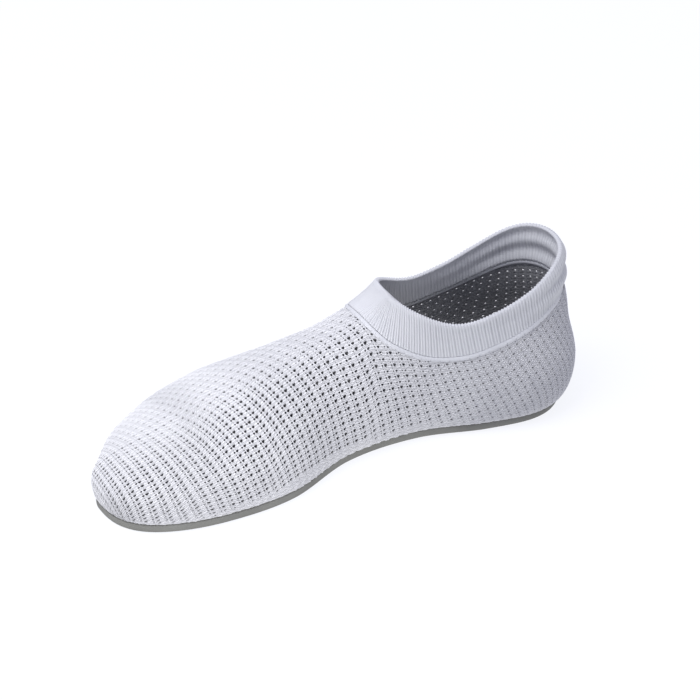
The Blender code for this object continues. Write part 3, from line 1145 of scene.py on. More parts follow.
@dataclass
class KnitUpper:
    """The openwork upper: knit cells with a wall, wrapped over the last in lengths from heel to toe."""
    last: Last
    wrap: TileWrap
    cell: KnitCell = KnitCell()
    lengths: tuple[tuple[str, int], ...] = (("heel", 0), ("waist", 16), ("vamp", 32), ("toe", 49))
    wall: float = 0.4
    inside_shade_slot: int = 1
    edge_shade_slot: int = 2
    unevenness: float = 0.1
    crease_angle: float = 55.0

    def build(self, finishes: tuple[bpy.types.Material, ...]) -> list[bpy.types.Object]:
        """Knit the upper, length after length.

        Args:
            finishes: those of the outside, and the painted shade of the inside and of the eyelets' edges.

        Returns:
            The pieces.
        """
        sheet = KnitCloth(self.last).sheet(self.cell)
        ends = [first for _, first in self.lengths[1:]] + [math.ceil(sheet.length / self.cell.length)]
        return [self.piece(sheet, name, first, end, finishes)
                for (name, first), end in zip(self.lengths, ends)]

    def piece(self, sheet: Sheet, name: str, first: int, end: int,
              finishes: tuple[bpy.types.Material, ...]) -> bpy.types.Object:
        """Knit one length of the upper.

        Args:
            sheet: the cloth to wrap.
            name: the length's name.
            first: its first column of cells.
            end: the column after its last.
            finishes: those of the outside, and the painted shade of the inside and of the eyelets' edges.

        Returns:
            The piece.
        """
        cell = self.cell
        tile = cell.tile((sheet.origin[0] + first * cell.length, sheet.origin[1]))
        carrier = sheet.carrier(f"cloth_{name}", self.last)
        # The outside's finish stands twice, because the tree adds a slot of its own
        for finish in (finishes[0], *finishes):
            carrier.data.materials.append(finish)
        rows = math.ceil(sheet.height / cell.height)
        self.wrap.attach(carrier, sheet, tile, (cell.length, cell.height), (end - first, rows),
                         finishes[0], self.unevenness)
        wall = carrier.modifiers.new("wall", "SOLIDIFY")
        wall.thickness = self.wall * MM
        wall.offset = -1.0
        # The wall's inside and its edges take the painted shade finishes
        wall.material_offset = self.inside_shade_slot
        wall.material_offset_rim = self.edge_shade_slot
        piece = frozen(carrier, f"upper_knit_{name}", (tile,))
        slots = np.zeros(len(piece.data.polygons), np.int32)
        piece.data.polygons.foreach_get("material_index", slots)
        piece.data.materials.clear()
        for finish in finishes:
            piece.data.materials.append(finish)
        piece.data.polygons.foreach_set("material_index", slots - slots.min())
        piece.data.set_sharp_from_angle(angle=math.radians(self.crease_angle))
        hand_in(piece, "upper")
        return piece


@dataclass
class CollarBand:
    """The strip of the last between the upper's edge and the cuff's top edge, as a ring of stations."""
    last: Last
    steps: int = 120
    fold_heights: tuple[float, ...] = (0.34, 0.82)
    fold_spread: float = 0.15
    fold_depth: float = 2.2
    fold_arc: float = 0.13
    top_drift: Curve = Curve((0.0, 0.15, 0.4, 0.65, 0.87, 1.0), (0.0, 0.03, 0.08, 0.109, 0.088, 0.0))
    line_steps: int = 400
    height_steps: int = 12
    probe: float = 0.01

    def line(self, side: Side, edge: CollarEdge) -> tuple[Array, Array]:
        """A collar line on one half, heel to throat: turn and angle where each rib meets it.

        Args:
            side: the half of the slipper.
            edge: the collar line.

        Returns:
            Half-turn shares and angles.
        """
        turn = self.last.throat_turn(edge) * np.sin(np.linspace(0, np.pi / 2, self.line_steps))
        angle = self.last.cut_angle(turn, side, edge)
        angle[-1] = RIDGE_ANGLE
        run = run_length(self.last.point(turn, angle, side))
        share = np.linspace(0, 1, self.steps + 1)
        if edge is CollarEdge.TOP:
            share = share + self.top_drift.at(share)
        return np.interp(share * run[-1], run, turn), np.interp(share * run[-1], run, angle)

    def half(self, side: Side, share: Array) -> Array:
        """Points on one half, at shares of the way from seam to top edge for each station.

        Args:
            side: the half of the slipper.
            share: shares of the way from seam to top edge, by station.

        Returns:
            The points.
        """
        seam_turn, seam_angle = (column[:, None] for column in self.line(side, CollarEdge.SEAM))
        top_turn, top_angle = (column[:, None] for column in self.line(side, CollarEdge.TOP))
        return self.last.point(seam_turn + (top_turn - seam_turn) * share,
                               seam_angle + (top_angle - seam_angle) * share, side)

    def ring(self, share: Array) -> Array:
        """Points all round the collar: outer side heel to throat, then inner side back to the heel.

        Args:
            share: shares of the way from seam to top edge, by station.

        Returns:
            The points.
        """
        outer = share[:self.steps + 1]
        inner = np.concatenate([share[:1], share[:self.steps - 1:-1]])
        return np.concatenate([self.half(Side.OUTER, outer), self.half(Side.INNER, inner)[-2:0:-1]])

    def surface(self, share: Array) -> tuple[Array, Array]:
        """Points on the band and the outward direction at each.

        Args:
            share: shares of the way from seam to top edge, by station.

        Returns:
            The points and the directions.
        """
        points = self.ring(share)
        forward = np.roll(points, -1, axis=0) - np.roll(points, 1, axis=0)
        raised = self.ring(share + self.probe)
        return points, unit(np.cross(forward, raised - points))

    def band_height(self) -> Array:
        """Height of the band at each station, measured along the last."""
        points = self.ring(np.tile(np.linspace(0, 1, self.height_steps), (2 * self.steps, 1)))
        return np.linalg.norm(np.diff(points, axis=1), axis=2).sum(axis=1)

    def slack(self, share: Array) -> Array:
        """How far the two soft folds behind the heel stand out, at shares of the cuff's height.

        Args:
            share: shares of the cuff's height.

        Returns:
            The distances, by station.
        """
        station = np.arange(2 * self.steps) / (2 * self.steps)
        back = np.exp(-((np.minimum(station, 1 - station) / self.fold_arc) ** 2))
        folds = sum(np.exp(-(((share - height) / self.fold_spread) ** 2)) for height in self.fold_heights)
        return self.fold_depth * back[:, None] * folds

    def loop_sheet(self, up: Array, out: Array, length: float, height: float) -> Sheet:
        """Sheet round a closed band.

        Args:
            up: for each station, the height of each point of the band's outline above the seam.
            out: how far each of these points stands out from the last.
            length: flat length of the band.
            height: flat height given to the outline's whole way round.

        Returns:
            The sheet, running once round the collar with a little lap.
        """
        points, outward = self.surface(up / self.band_height()[:, None])
        points = points + outward * out[..., None]
        stations, rows = points.shape[:2]
        lap = np.concatenate([points[-1:], points, points[:2]])
        lap = np.concatenate([2 * lap[:, :1] - lap[:, 1:2], lap, 2 * lap[:, -1:] - lap[:, -2:-1]], axis=1)
        flat_x = np.arange(-1, stations + 2) / stations * length + length / stations
        share = np.arange(-1, rows + 1) / (rows - 1)
        flat_y = (share + 1 / (rows - 1)) * height
        flat = np.stack(np.broadcast_arrays(flat_x[:, None], flat_y[None, :]), -1)
        normal = unit(np.cross(np.gradient(lap, axis=0), np.gradient(lap, axis=1)))
        origin = (length / stations, height / (rows - 1))
        strip = Strip(lap, normal, flat, np.ones(lap.shape[:2]))
        return Sheet([strip], origin, float(flat_x.max()), float(flat_y.max()))


def relief_tile(name: str, sheet: Sheet, length: float, height: float, relief: Array) -> bpy.types.Object:
    """A closed-up tile with a relief over it.

    Args:
        name: the tile's name.
        sheet: the sheet that it is laid on.
        length: the tile's length along the sheet.
        height: the tile's height, the sheet's own way round.
        relief: heights, by columns along and rows across.

    Returns:
        The tile.
    """
    columns, rows = relief.shape
    xs = np.linspace(0, length, columns) + sheet.origin[0]
    ys = np.linspace(0, height, rows) + sheet.origin[1]
    points = np.stack([*np.broadcast_arrays(xs[:, None], ys[None, :]), relief], -1)
    return tile_object(name, points, grid_faces(columns, rows))


@dataclass
class RibCuff:
    """The cuff: a double band with fine ribs, a rolled hem and two soft folds behind the heel."""
    band: CollarBand
    wrap: TileWrap
    wall: float = 2.2
    proud: float = 0.5
    start: float = 2.0
    length: float = 260.0
    height: float = 50.0
    rib_pairs: int = 90
    rib_columns: int = 8
    rib: float = 0.36
    deep_groove: float = 0.08
    hem: float = 0.18
    scallop: float = 0.26
    rib_foot: float = -0.05
    rib_top: float = 0.94
    lining_rib: float = 0.6
    lining_foot: float = 0.1
    foot_fade: float = 0.1
    hem_foot: float = 0.88
    hem_fade: float = 0.08
    outer_rows: int = 22
    roll_rows: int = 7
    inner_rows: int = 14

    def outline(self) -> tuple[Array, Array]:
        """The band's cross-section: how high and how far out each of its points lies, for each station.

        Returns:
            Heights above the seam, and distances from the last.
        """
        tall = self.band.band_height()[:, None]
        radius = self.wall / 2
        rise = np.linspace(0, 1, self.outer_rows)[None, :]
        fall = np.linspace(1, 0, self.inner_rows)[None, :]
        turn = np.linspace(0, np.pi, self.roll_rows + 2)[None, 1:-1]
        reach = tall - radius - self.start
        top_slack = self.band.slack(np.ones((1, 1)))
        up = [self.start + reach * rise, tall - radius + radius * np.sin(turn), self.start + reach * fall]
        out = [self.proud + self.band.slack(rise), self.proud - radius + radius * np.cos(turn) + top_slack,
               self.proud - self.wall + self.band.slack(fall)]
        up.append(up[0][:, :1])
        out.append(out[0][:, :1])
        return np.concatenate(up, axis=1), np.concatenate(out, axis=1)

    def relief(self) -> Array:
        """Ribs over one pair's width, faded into the hem, with the hem's small scallops.

        Returns:
            Heights, by columns along the band and rows round it.
        """
        x = np.linspace(0, 2 * np.pi, self.rib_columns + 1)[:, None]
        rows = self.outer_rows + self.roll_rows + self.inner_rows + 1
        row = np.arange(rows)
        outer = row / (self.outer_rows - 1)
        inner = (row - self.outer_rows - self.roll_rows) / (self.inner_rows - 1)
        faded = (ease((outer - self.rib_foot) / self.foot_fade)
                 * ease((self.rib_top - outer) / self.hem_fade))
        ribbed = np.where(row < self.outer_rows, faded, 0.0)
        lining = self.lining_rib * ease((inner - self.lining_foot) / self.foot_fade)
        ribbed = np.where(inner >= 0, lining, ribbed)
        hemmed = np.where(inner < 0, ease((outer - self.hem_foot) / self.hem_fade), 0.0)
        ribbed[-1] = ribbed[0]
        ribs = -self.rib * np.cos(2 * x) - self.deep_groove * np.cos(x)
        return ribbed * ribs + hemmed * (self.hem - self.scallop * np.cos(2 * x))

    def build(self, yarn: bpy.types.Material) -> bpy.types.Object:
        """Knit the cuff.

        Args:
            yarn: finish of the cuff.

        Returns:
            The piece.
        """
        up, out = self.outline()
        sheet = self.band.loop_sheet(up, out, self.length, self.height)
        pitch = self.length / self.rib_pairs
        tile = relief_tile("rib_pair", sheet, pitch, self.height, self.relief())
        carrier = sheet.carrier("cuff_band", self.band.last)
        self.wrap.attach(carrier, sheet, tile, (pitch, self.height), (self.rib_pairs, 1), yarn)
        piece = frozen(carrier, "collar_cuff_ribbed", (tile,))
        hand_in(piece, "collar_cuff")
        return piece


@dataclass
class OverlockSeam:
    """The raised seam that joins the cuff to the upper, wound with thread."""
    band: CollarBand
    wrap: TileWrap
    low: float = -0.6
    high: float = 2.0
    proud: float = 0.65
    depth: float = 1.3
    flatness: float = 0.4
    back_flatness: float = 0.5
    length: float = 260.0
    height: float = 8.0
    stitches: int = 118
    tile_stitches: int = 2
    thread: float = 0.13
    heel_rise: float = 1.5
    heel_swell: float = 0.35
    heel_arc: float = 0.12
    needle_hole: float = 0.45
    hole_row: int = 2
    slant: float = 0.8
    dome_rows: int = 10
    back_rows: int = 4
    stitch_columns: int = 6

    def build(self, thread: bpy.types.Material) -> bpy.types.Object:
        """Sew the seam.

        Args:
            thread: finish of the seam.

        Returns:
            The piece.
        """
        dome = np.linspace(0, 1, self.dome_rows)
        back = np.linspace(1, 0, self.back_rows + 2)[1:-1]
        share = np.concatenate([dome, back, dome[:1]])
        out = np.concatenate([self.proud * np.sin(np.pi * dome) ** self.flatness,
                              -self.depth * np.sin(np.pi * back) ** self.back_flatness, [0.0]])
        station = np.arange(2 * self.band.steps) / (2 * self.band.steps)
        back_of_heel = np.exp(-((np.minimum(station, 1 - station) / self.heel_arc) ** 2))[:, None]
        up = self.low + (self.high + self.heel_rise * back_of_heel - self.low) * share
        out = out * (1 + self.heel_swell * back_of_heel)
        sheet = self.band.loop_sheet(up, out, self.length, self.height)
        tiles = self.stitches // self.tile_stitches
        pitch = self.length / tiles
        columns = self.tile_stitches * self.stitch_columns
        x = np.linspace(0, 2 * np.pi * self.tile_stitches, columns + 1)[:, None]
        wound = np.concatenate([np.sin(np.pi * dome), 0 * back, [0.0]])[None, :]
        relief = self.thread * wound * np.cos(x + 2 * np.pi * self.slant * share[None, :])
        # Each needle hole is a pit, which the thread's finish darkens with painted shade
        relief[self.stitch_columns, self.hole_row] -= self.needle_hole
        tile = relief_tile("overlock_stitches", sheet, pitch, self.height, relief)
        carrier = sheet.carrier("seam_band", self.band.last)
        self.wrap.attach(carrier, sheet, tile, (pitch, self.height), (tiles, 1), thread)
        piece = frozen(carrier, "collar_seam_overlock", (tile,))
        hand_in(piece, "collar_seam")
        return piece


@dataclass
class Board:
    """A flat piece cut to the sole's outline, from rings of inset and height."""
    last: Last
    steps: int = 140
    crease_angle: float = 35.0

    def ring(self, inset: float, z: float) -> Array:
        """The sole's outline drawn in by an inset, outer side heel to toe and inner side back.

        Args:
            inset: how far the outline is drawn in.
            z: height of the ring.

        Returns:
            The points.
        """
        turn = np.linspace(0, 1, self.steps + 1)
        halves = {}
        for side in Side:
            spine_x, spine_y, out_x, out_y, reach = self.last.fan(turn, side)
            r = reach - inset
            halves[side] = np.stack([spine_x + out_x * r, spine_y + out_y * r, np.full_like(r, z)], -1)
        return np.concatenate([halves[Side.OUTER], halves[Side.INNER][-2:0:-1]])

    def cap(self, ring: int, rings: int, upward: bool) -> list:
        """Faces across the outline on one ring.

        Args:
            ring: the ring's number.
            rings: how many rings the board has.
            upward: whether the faces look up.

        Returns:
            Corner numbers of each face.
        """
        stations = 2 * self.steps
        faces = []
        for step in range(self.steps):
            corners = list(dict.fromkeys((step, step + 1, -(step + 1) % stations, -step % stations)))
            faces.append([corner * rings + ring for corner in (corners if upward else reversed(corners))])
        return faces

    def mesh(self, name: str, outline: tuple[tuple[float, float], ...]) -> bpy.types.Mesh:
        """Closed board whose edge follows the outline of (inset, height), from its underside to its top.

        Args:
            name: the mesh's name.
            outline: inset and height of each ring.

        Returns:
            The mesh.
        """
        points = np.stack([self.ring(inset, z) for inset, z in outline], axis=1)
        stations, rings = points.shape[:2]
        faces = grid_faces(stations, rings, wrap_rows=True)
        faces += self.cap(0, rings, upward=False) + self.cap(rings - 1, rings, upward=True)
        mesh = plain_mesh(self.last.placed(points), faces, name)
        mesh.set_sharp_from_angle(angle=math.radians(self.crease_angle))
        return mesh

    def flat(self, name: str, inset: float, z: float) -> bpy.types.Mesh:
        """Flat sheet inside the outline, facing down."""
        return plain_mesh(self.last.placed(self.ring(inset, z)), self.cap(0, 1, upward=False), name)


@dataclass
class FoamSole:
    """The foam sole: a board with eased edges, on a field of small grip studs."""
    board: Board
    thick: float = 4.5
    stud: float = 0.4
    stud_width: float = 3.0
    stud_pitch: float = 5.2
    stud_margin: float = 5.0
    stud_sides: int = 8
    stud_foot: tuple[tuple[float, float], ...] = ((0.62, 0.0), (0.86, 0.08))
    stud_root: float = 0.3
    stud_columns: int = 58
    stud_rows: int = 26
    ray_drop: float = 10.0
    ray_reach: float = 100.0
    edge: float = 0.8
    edge_share: float = 0.3
    undercut: tuple[float, float, float] = (0.4, 0.2, 0.1)

    def studs(self) -> GeometryTree:
        """Tree that sets studs in staggered rows under a board, wherever a sheet lies above them.

        Returns:
            The tree.
        """
        made = GeometryTree("grip_studs", {
            "Board": "NodeSocketObject", "Stud": "NodeSocketObject", "Pitch": "NodeSocketFloat",
            "Columns": "NodeSocketInt", "Rows": "NodeSocketInt", "Material": "NodeSocketMaterial"})
        tree, given = made.tree, made.given
        drop = self.ray_drop * MM
        row_pitch = calc(tree, "MULTIPLY", given["Pitch"], math.sqrt(3) / 2)
        grid = put(tree, "GeometryNodeMeshGrid", feeds={
            "Size X": calc(tree, "MULTIPLY", calc(tree, "SUBTRACT", given["Columns"], 1), given["Pitch"]),
            "Size Y": calc(tree, "MULTIPLY", calc(tree, "SUBTRACT", given["Rows"], 1), row_pitch),
            "Vertices X": given["Columns"], "Vertices Y": given["Rows"]})
        index = put(tree, "GeometryNodeInputIndex").outputs[0]
        odd = calc(tree, "MODULO", calc(tree, "FLOORED_MODULO", index, given["Rows"]), 2.0)
        stagger = put(tree, "ShaderNodeCombineXYZ", feeds={
            "X": calc(tree, "MULTIPLY", calc(tree, "MULTIPLY", odd, given["Pitch"]), 0.5), "Z": -drop})
        set_out = put(tree, "GeometryNodeSetPosition", feeds={"Geometry": grid.outputs["Mesh"],
                                                              "Offset": stagger.outputs[0]})
        hit = put(tree, "GeometryNodeRaycast", feeds={
            "Target Geometry": given["Geometry"], "Ray Direction": (0.0, 0.0, 1.0),
            "Ray Length": self.ray_reach * MM})
        missed = put(tree, "FunctionNodeBooleanMath", {"operation": "NOT"}, {0: hit.outputs["Is Hit"]})
        under = put(tree, "GeometryNodeDeleteGeometry", {"domain": "POINT"},
                    {"Geometry": set_out.outputs[0], "Selection": missed.outputs[0]})
        level = put(tree, "GeometryNodeTransform",
                    feeds={"Geometry": under.outputs[0], "Translation": (0.0, 0.0, drop)})
        stud = put(tree, "GeometryNodeObjectInfo", feeds={"Object": given["Stud"]})
        placed = put(tree, "GeometryNodeInstanceOnPoints", feeds={"Points": level.outputs[0],
                                                                 "Instance": stud.outputs["Geometry"]})
        board = put(tree, "GeometryNodeObjectInfo", feeds={"Object": given["Board"]})
        join = put(tree, "GeometryNodeJoinGeometry")
        tree.links.new(placed.outputs[0], join.inputs[0])
        tree.links.new(board.outputs["Geometry"], join.inputs[0])
        made.close(join.outputs[0])
        return made

    def stud_object(self) -> bpy.types.Object:
        """One low round stud with an eased foot, its top inside the board.

        Returns:
            The stud.
        """
        rings = (*self.stud_foot, (1.0, self.stud), (1.0, self.stud + self.stud_root))
        turn = np.linspace(0, 2 * np.pi, self.stud_sides + 1)[:-1]
        points = [(math.cos(a) * share * self.stud_width / 2, math.sin(a) * share * self.stud_width / 2, z)
                  for share, z in rings for a in turn]
        top = (len(rings) - 1) * len(turn)
        faces = [tuple(reversed(face)) for face in grid_faces(len(rings), len(turn), wrap_columns=True)]
        faces.append(tuple(range(len(turn) - 1, -1, -1)))
        faces.append(tuple(range(top, top + len(turn))))
        return loose_object("grip_stud", plain_mesh(np.array(points) * MM, faces, "grip_stud"))

    def build(self, foam: bpy.types.Material) -> bpy.types.Object:
        """Cut the sole and set its studs.

        Args:
            foam: finish of the sole.

        Returns:
            The piece.
        """
        ease_in, ease_mid = self.edge, self.edge * self.edge_share
        low, top = self.stud, self.thick
        low_cut, mid_cut, high_cut = self.undercut
        mesh = self.board.mesh("sole_board", (
            (ease_in + low_cut, low), (ease_mid + mid_cut, low + ease_mid), (high_cut, low + ease_in),
            (0.0, (low + top) / 2),
            (0.0, top - ease_in), (ease_mid, top - ease_mid), (ease_in, top)))
        board = loose_object("sole_board", mesh)
        stud = self.stud_object()
        carrier = loose_object("stud_field", self.board.flat("stud_field", self.stud_margin, self.thick))
        self.studs().attach(carrier, {
            "Board": board, "Stud": stud, "Pitch": self.stud_pitch * MM,
            "Columns": self.stud_columns, "Rows": self.stud_rows, "Material": foam})
        piece = frozen(carrier, "outsole_foam", (board, stud))
        hand_in(piece, "outsole")
        return piece


@dataclass
class Footbed:
    """The thin cloth-covered footbed inside the slipper."""
    board: Board
    inset: float = 2.7
    thick: float = 2.0
    roll: float = 0.7
    roll_share: float = 0.3

    def build(self, cloth: bpy.types.Material) -> bpy.types.Object:
        """Cut the footbed with a soft top edge.

        Args:
            cloth: finish of the footbed, a dark grey that paints the shade inside the slipper.

        Returns:
            The piece.
        """
        low = self.board.last.feather_z
        top = low + self.thick
        soft = self.roll_share * self.roll
        piece = loose_object("insole_footbed", self.board.mesh("insole_footbed", (
            (self.inset, low), (self.inset, top - self.roll), (self.inset + soft, top - soft),
            (self.inset + self.roll, top))))
        piece.data.materials.append(cloth)
        hand_in(piece, "insole")
        return piece


class FinishGroups:
    """Shader node groups that several finishes share."""

    PLY_TWIST = 1.2
    PLY_DETAIL = 1.0
    PLY_SHARE = 0.6
    FUZZ_DETAIL = 3.0
    FUZZ_SHARE = 0.4
    MOTTLE_DETAIL = 4.0
    MOTTLE_ROUGHNESS = 0.6
    MOTTLE_RANGE = (0.3, 0.7)
    GRAIN_COARSER = 0.35
    GRAIN_DETAIL = 4.0
    CELL_SHARE = 0.5

    def __init__(self) -> None:
        """Build each group once."""
        self.yarn = self._yarn()
        self.hollows = self._painted_hollow_shade()
        self.mottle = self._mottle()
        self.grain = self._grain()

    @staticmethod
    def _start(name: str, inputs: dict[str, str],
               outputs: dict[str, str]) -> tuple[bpy.types.NodeTree, object]:
        """New group with named sockets, and its inputs.

        Args:
            name: the group's name.
            inputs: socket type for each input.
            outputs: socket type for each output.

        Returns:
            The group and its inputs.
        """
        tree = bpy.data.node_groups.new(name, "ShaderNodeTree")
        for key, kind in inputs.items():
            tree.interface.new_socket(key, in_out="INPUT", socket_type=kind)
        for key, kind in outputs.items():
            tree.interface.new_socket(key, in_out="OUTPUT", socket_type=kind)
        return tree, put(tree, "NodeGroupInput").outputs

    def _yarn(self) -> bpy.types.NodeTree:
        """Twisted plies with a little fuzz, for knit, ribs and thread.

        Returns:
            The group.
        """
        tree, given = self._start("yarn_plies", {
            "Vector": "NodeSocketVector", "Plies": "NodeSocketFloat", "Fuzz": "NodeSocketFloat"},
            {"Height": "NodeSocketFloat", "Tone": "NodeSocketFloat"})
        twist = put(tree, "ShaderNodeTexWave", {"bands_direction": "DIAGONAL"}, {
            "Vector": given["Vector"], "Scale": given["Plies"],
            "Distortion": self.PLY_TWIST, "Detail": self.PLY_DETAIL})
        fuzz = put(tree, "ShaderNodeTexNoise", feeds={
            "Vector": given["Vector"], "Scale": given["Fuzz"], "Detail": self.FUZZ_DETAIL})
        height = calc(tree, "MULTIPLY_ADD", twist.outputs[1], self.PLY_SHARE,
                      calc(tree, "MULTIPLY", fuzz.outputs[0], self.FUZZ_SHARE))
        put(tree, "NodeGroupOutput", feeds={"Height": height, "Tone": fuzz.outputs[0]})
        return tree

    def _painted_hollow_shade(self) -> bpy.types.NodeTree:
        """Painted shade: colour that darkens where the cloth's relief is low, as if its furrows, grooves and
        pits were in shadow.

        Returns:
            The group.
        """
        tree, given = self._start("hollows", {
            "Vector": "NodeSocketVector", "Low": "NodeSocketFloat", "High": "NodeSocketFloat",
            "Shade": "NodeSocketFloat", "Color": "NodeSocketColor"}, {"Color": "NodeSocketColor"})
        relief = put(tree, "ShaderNodeSeparateXYZ", feeds={0: given["Vector"]}).outputs[2]
        tone = put(tree, "ShaderNodeMapRange", {"interpolation_type": "SMOOTHSTEP"}, {
            "Value": relief, "From Min": given["Low"], "From Max": given["High"],
            "To Min": given["Shade"]}).outputs[0]
        shaded = put(tree, "ShaderNodeVectorMath", {"operation": "SCALE"},
                     {0: given["Color"], "Scale": tone}).outputs[0]
        put(tree, "NodeGroupOutput", feeds={"Color": shaded})
        return tree

    def _mottle(self) -> bpy.types.NodeTree:
        """Slow change between two close colours.

        Returns:
            The group.
        """
        tree, given = self._start("mottle", {
            "Vector": "NodeSocketVector", "Scale": "NodeSocketFloat", "Light": "NodeSocketColor",
            "Dark": "NodeSocketColor"}, {"Color": "NodeSocketColor", "Mask": "NodeSocketFloat"})
        noise = put(tree, "ShaderNodeTexNoise", feeds={
            "Vector": given["Vector"], "Scale": given["Scale"],
            "Detail": self.MOTTLE_DETAIL, "Roughness": self.MOTTLE_ROUGHNESS})
        low, high = self.MOTTLE_RANGE
        spread = put(tree, "ShaderNodeMapRange", feeds={
            "Value": noise.outputs[0], "From Min": low, "From Max": high})
        mixed = put(tree, "ShaderNodeMix", {"data_type": "RGBA"},
                    {0: spread.outputs[0], 6: given["Dark"], 7: given["Light"]})
        put(tree, "NodeGroupOutput", feeds={"Color": mixed.outputs[2], "Mask": spread.outputs[0]})
        return tree

    def _grain(self) -> bpy.types.NodeTree:
        """Fine closed cells of foam or the dots of a plain weave.

        Returns:
            The group.
        """
        tree, given = self._start("fine_grain", {"Vector": "NodeSocketVector", "Scale": "NodeSocketFloat"},
                                  {"Height": "NodeSocketFloat"})
        cells = put(tree, "ShaderNodeTexVoronoi",
                    feeds={"Vector": given["Vector"], "Scale": given["Scale"]})
        coarse = calc(tree, "MULTIPLY", given["Scale"], self.GRAIN_COARSER)
        rough = put(tree, "ShaderNodeTexNoise", feeds={
            "Vector": given["Vector"], "Scale": coarse, "Detail": self.GRAIN_DETAIL})
        height = calc(tree, "MULTIPLY_ADD", cells.outputs["Distance"], self.CELL_SHARE, rough.outputs[0])
        put(tree, "NodeGroupOutput", feeds={"Height": height})
        return tree


def new_material(name: str) -> tuple[bpy.types.Material, bpy.types.NodeTree, bpy.types.Node]:
    """Make a material with a Principled shader.

    Args:
        name: the material's name.

    Returns:
        The material, its tree and its shader.
    """
    material = bpy.data.materials.new(name)
    material.use_nodes = True
    return material, material.node_tree, material.node_tree.nodes["Principled BSDF"]


def set_plain(shader: bpy.types.Node, values: dict[str, object]) -> None:
    """Set plain values on a shader's own sockets."""
    for key, value in values.items():
        shader.inputs[key].default_value = value


def mottled(tree: bpy.types.NodeTree, groups: FinishGroups, place: bpy.types.NodeSocket,
            finish: "YarnFinish | GrainFinish") -> bpy.types.bpy_prop_collection:
    """Outputs of the mottle group, placed in a material with a finish's two colours.

    Args:
        tree: the material's tree.
        groups: the shared node groups.
        place: coordinates of the pattern.
        finish: the finish, for its colours.

    Returns:
        The group's outputs.
    """
    return put(tree, "ShaderNodeGroup", {"node_tree": groups.mottle}, {
        "Vector": place, "Scale": finish.mottle,
        "Light": (*finish.light, 1), "Dark": (*finish.dark, 1)}).outputs


def feed_shader(tree: bpy.types.NodeTree, shader: bpy.types.Node, finish: "YarnFinish | GrainFinish",
                colour: bpy.types.NodeSocket, tone: bpy.types.NodeSocket,
                height: bpy.types.NodeSocket) -> None:
    """Feed a finish's Principled shader.

    Args:
        tree: the material's tree.
        shader: its Principled shader.
        finish: the finish, for its roughness, bump and shine.
        colour: what feeds the base colour.
        tone: what moves the roughness between its two ends.
        height: what feeds the bump.
    """
    rough = put(tree, "ShaderNodeMapRange", feeds={
        "Value": tone, "To Min": finish.rough_low, "To Max": finish.rough_high}).outputs[0]
    bump = put(tree, "ShaderNodeBump", feeds={
        "Height": height, "Strength": finish.bump, "Distance": finish.bump_depth}).outputs[0]
    for key, socket in {"Base Color": colour, "Roughness": rough, "Normal": bump}.items():
        tree.links.new(socket, shader.inputs[key])
    set_plain(shader, {"Specular IOR Level": finish.specular})


@dataclass(frozen=True)
class YarnFinish:
    """Finish of a knitted or threaded piece, that follows the cloth's own coordinates, with painted shade
    that darkens its colour where the relief is low.
    """
    name: str
    light: Colour
    dark: Colour
    rough_low: float = 0.8
    rough_high: float = 0.95
    sheen: float = 0.15
    specular: float = 0.25
    plies: float = 0.55
    fuzz: float = 2.4
    mottle: float = 0.09
    bump: float = 0.35
    bump_depth: float = 0.00025
    # Painted shade: the colour falls to shade times its own where the relief drops from crest to hollow
    hollow: float = -0.16
    crest: float = 0.22
    shade: float = 0.70

    def material(self, groups: FinishGroups) -> bpy.types.Material:
        """Build the finish.

        Args:
            groups: the shared node groups.

        Returns:
            The material.
        """
        material, tree, shader = new_material(self.name)
        weave = put(tree, "ShaderNodeAttribute", {"attribute_name": TileWrap.WEAVE}).outputs["Vector"]
        yarn = put(tree, "ShaderNodeGroup", {"node_tree": groups.yarn},
                   {"Vector": weave, "Plies": self.plies, "Fuzz": self.fuzz}).outputs
        tint = mottled(tree, groups, weave, self)
        # Painted shade in the relief's furrows, grooves and pits
        shaded = put(tree, "ShaderNodeGroup", {"node_tree": groups.hollows}, {
            "Vector": weave, "Low": self.hollow, "High": self.crest, "Shade": self.shade,
            "Color": tint["Color"]}).outputs["Color"]
        feed_shader(tree, shader, self, shaded, yarn["Tone"], yarn["Height"])
        set_plain(shader, {"Sheen Weight": self.sheen})
        return material


@dataclass(frozen=True)
class GrainFinish:
    """Finish of the foam sole and the footbed's cloth, on Object coordinates."""
    name: str
    light: Colour
    dark: Colour
    grain: float
    mottle: float
    rough_low: float
    rough_high: float
    bump: float
    bump_depth: float
    specular: float = 0.3

    def material(self, groups: FinishGroups) -> bpy.types.Material:
        """Build the finish.

        Args:
            groups: the shared node groups.

        Returns:
            The material.
        """
        material, tree, shader = new_material(self.name)
        place = put(tree, "ShaderNodeTexCoord").outputs["Object"]
        grain = put(tree, "ShaderNodeGroup", {"node_tree": groups.grain},
                    {"Vector": place, "Scale": self.grain}).outputs
        tint = mottled(tree, groups, place, self)
        feed_shader(tree, shader, self, tint["Color"], tint["Mask"], grain["Height"])
        return material


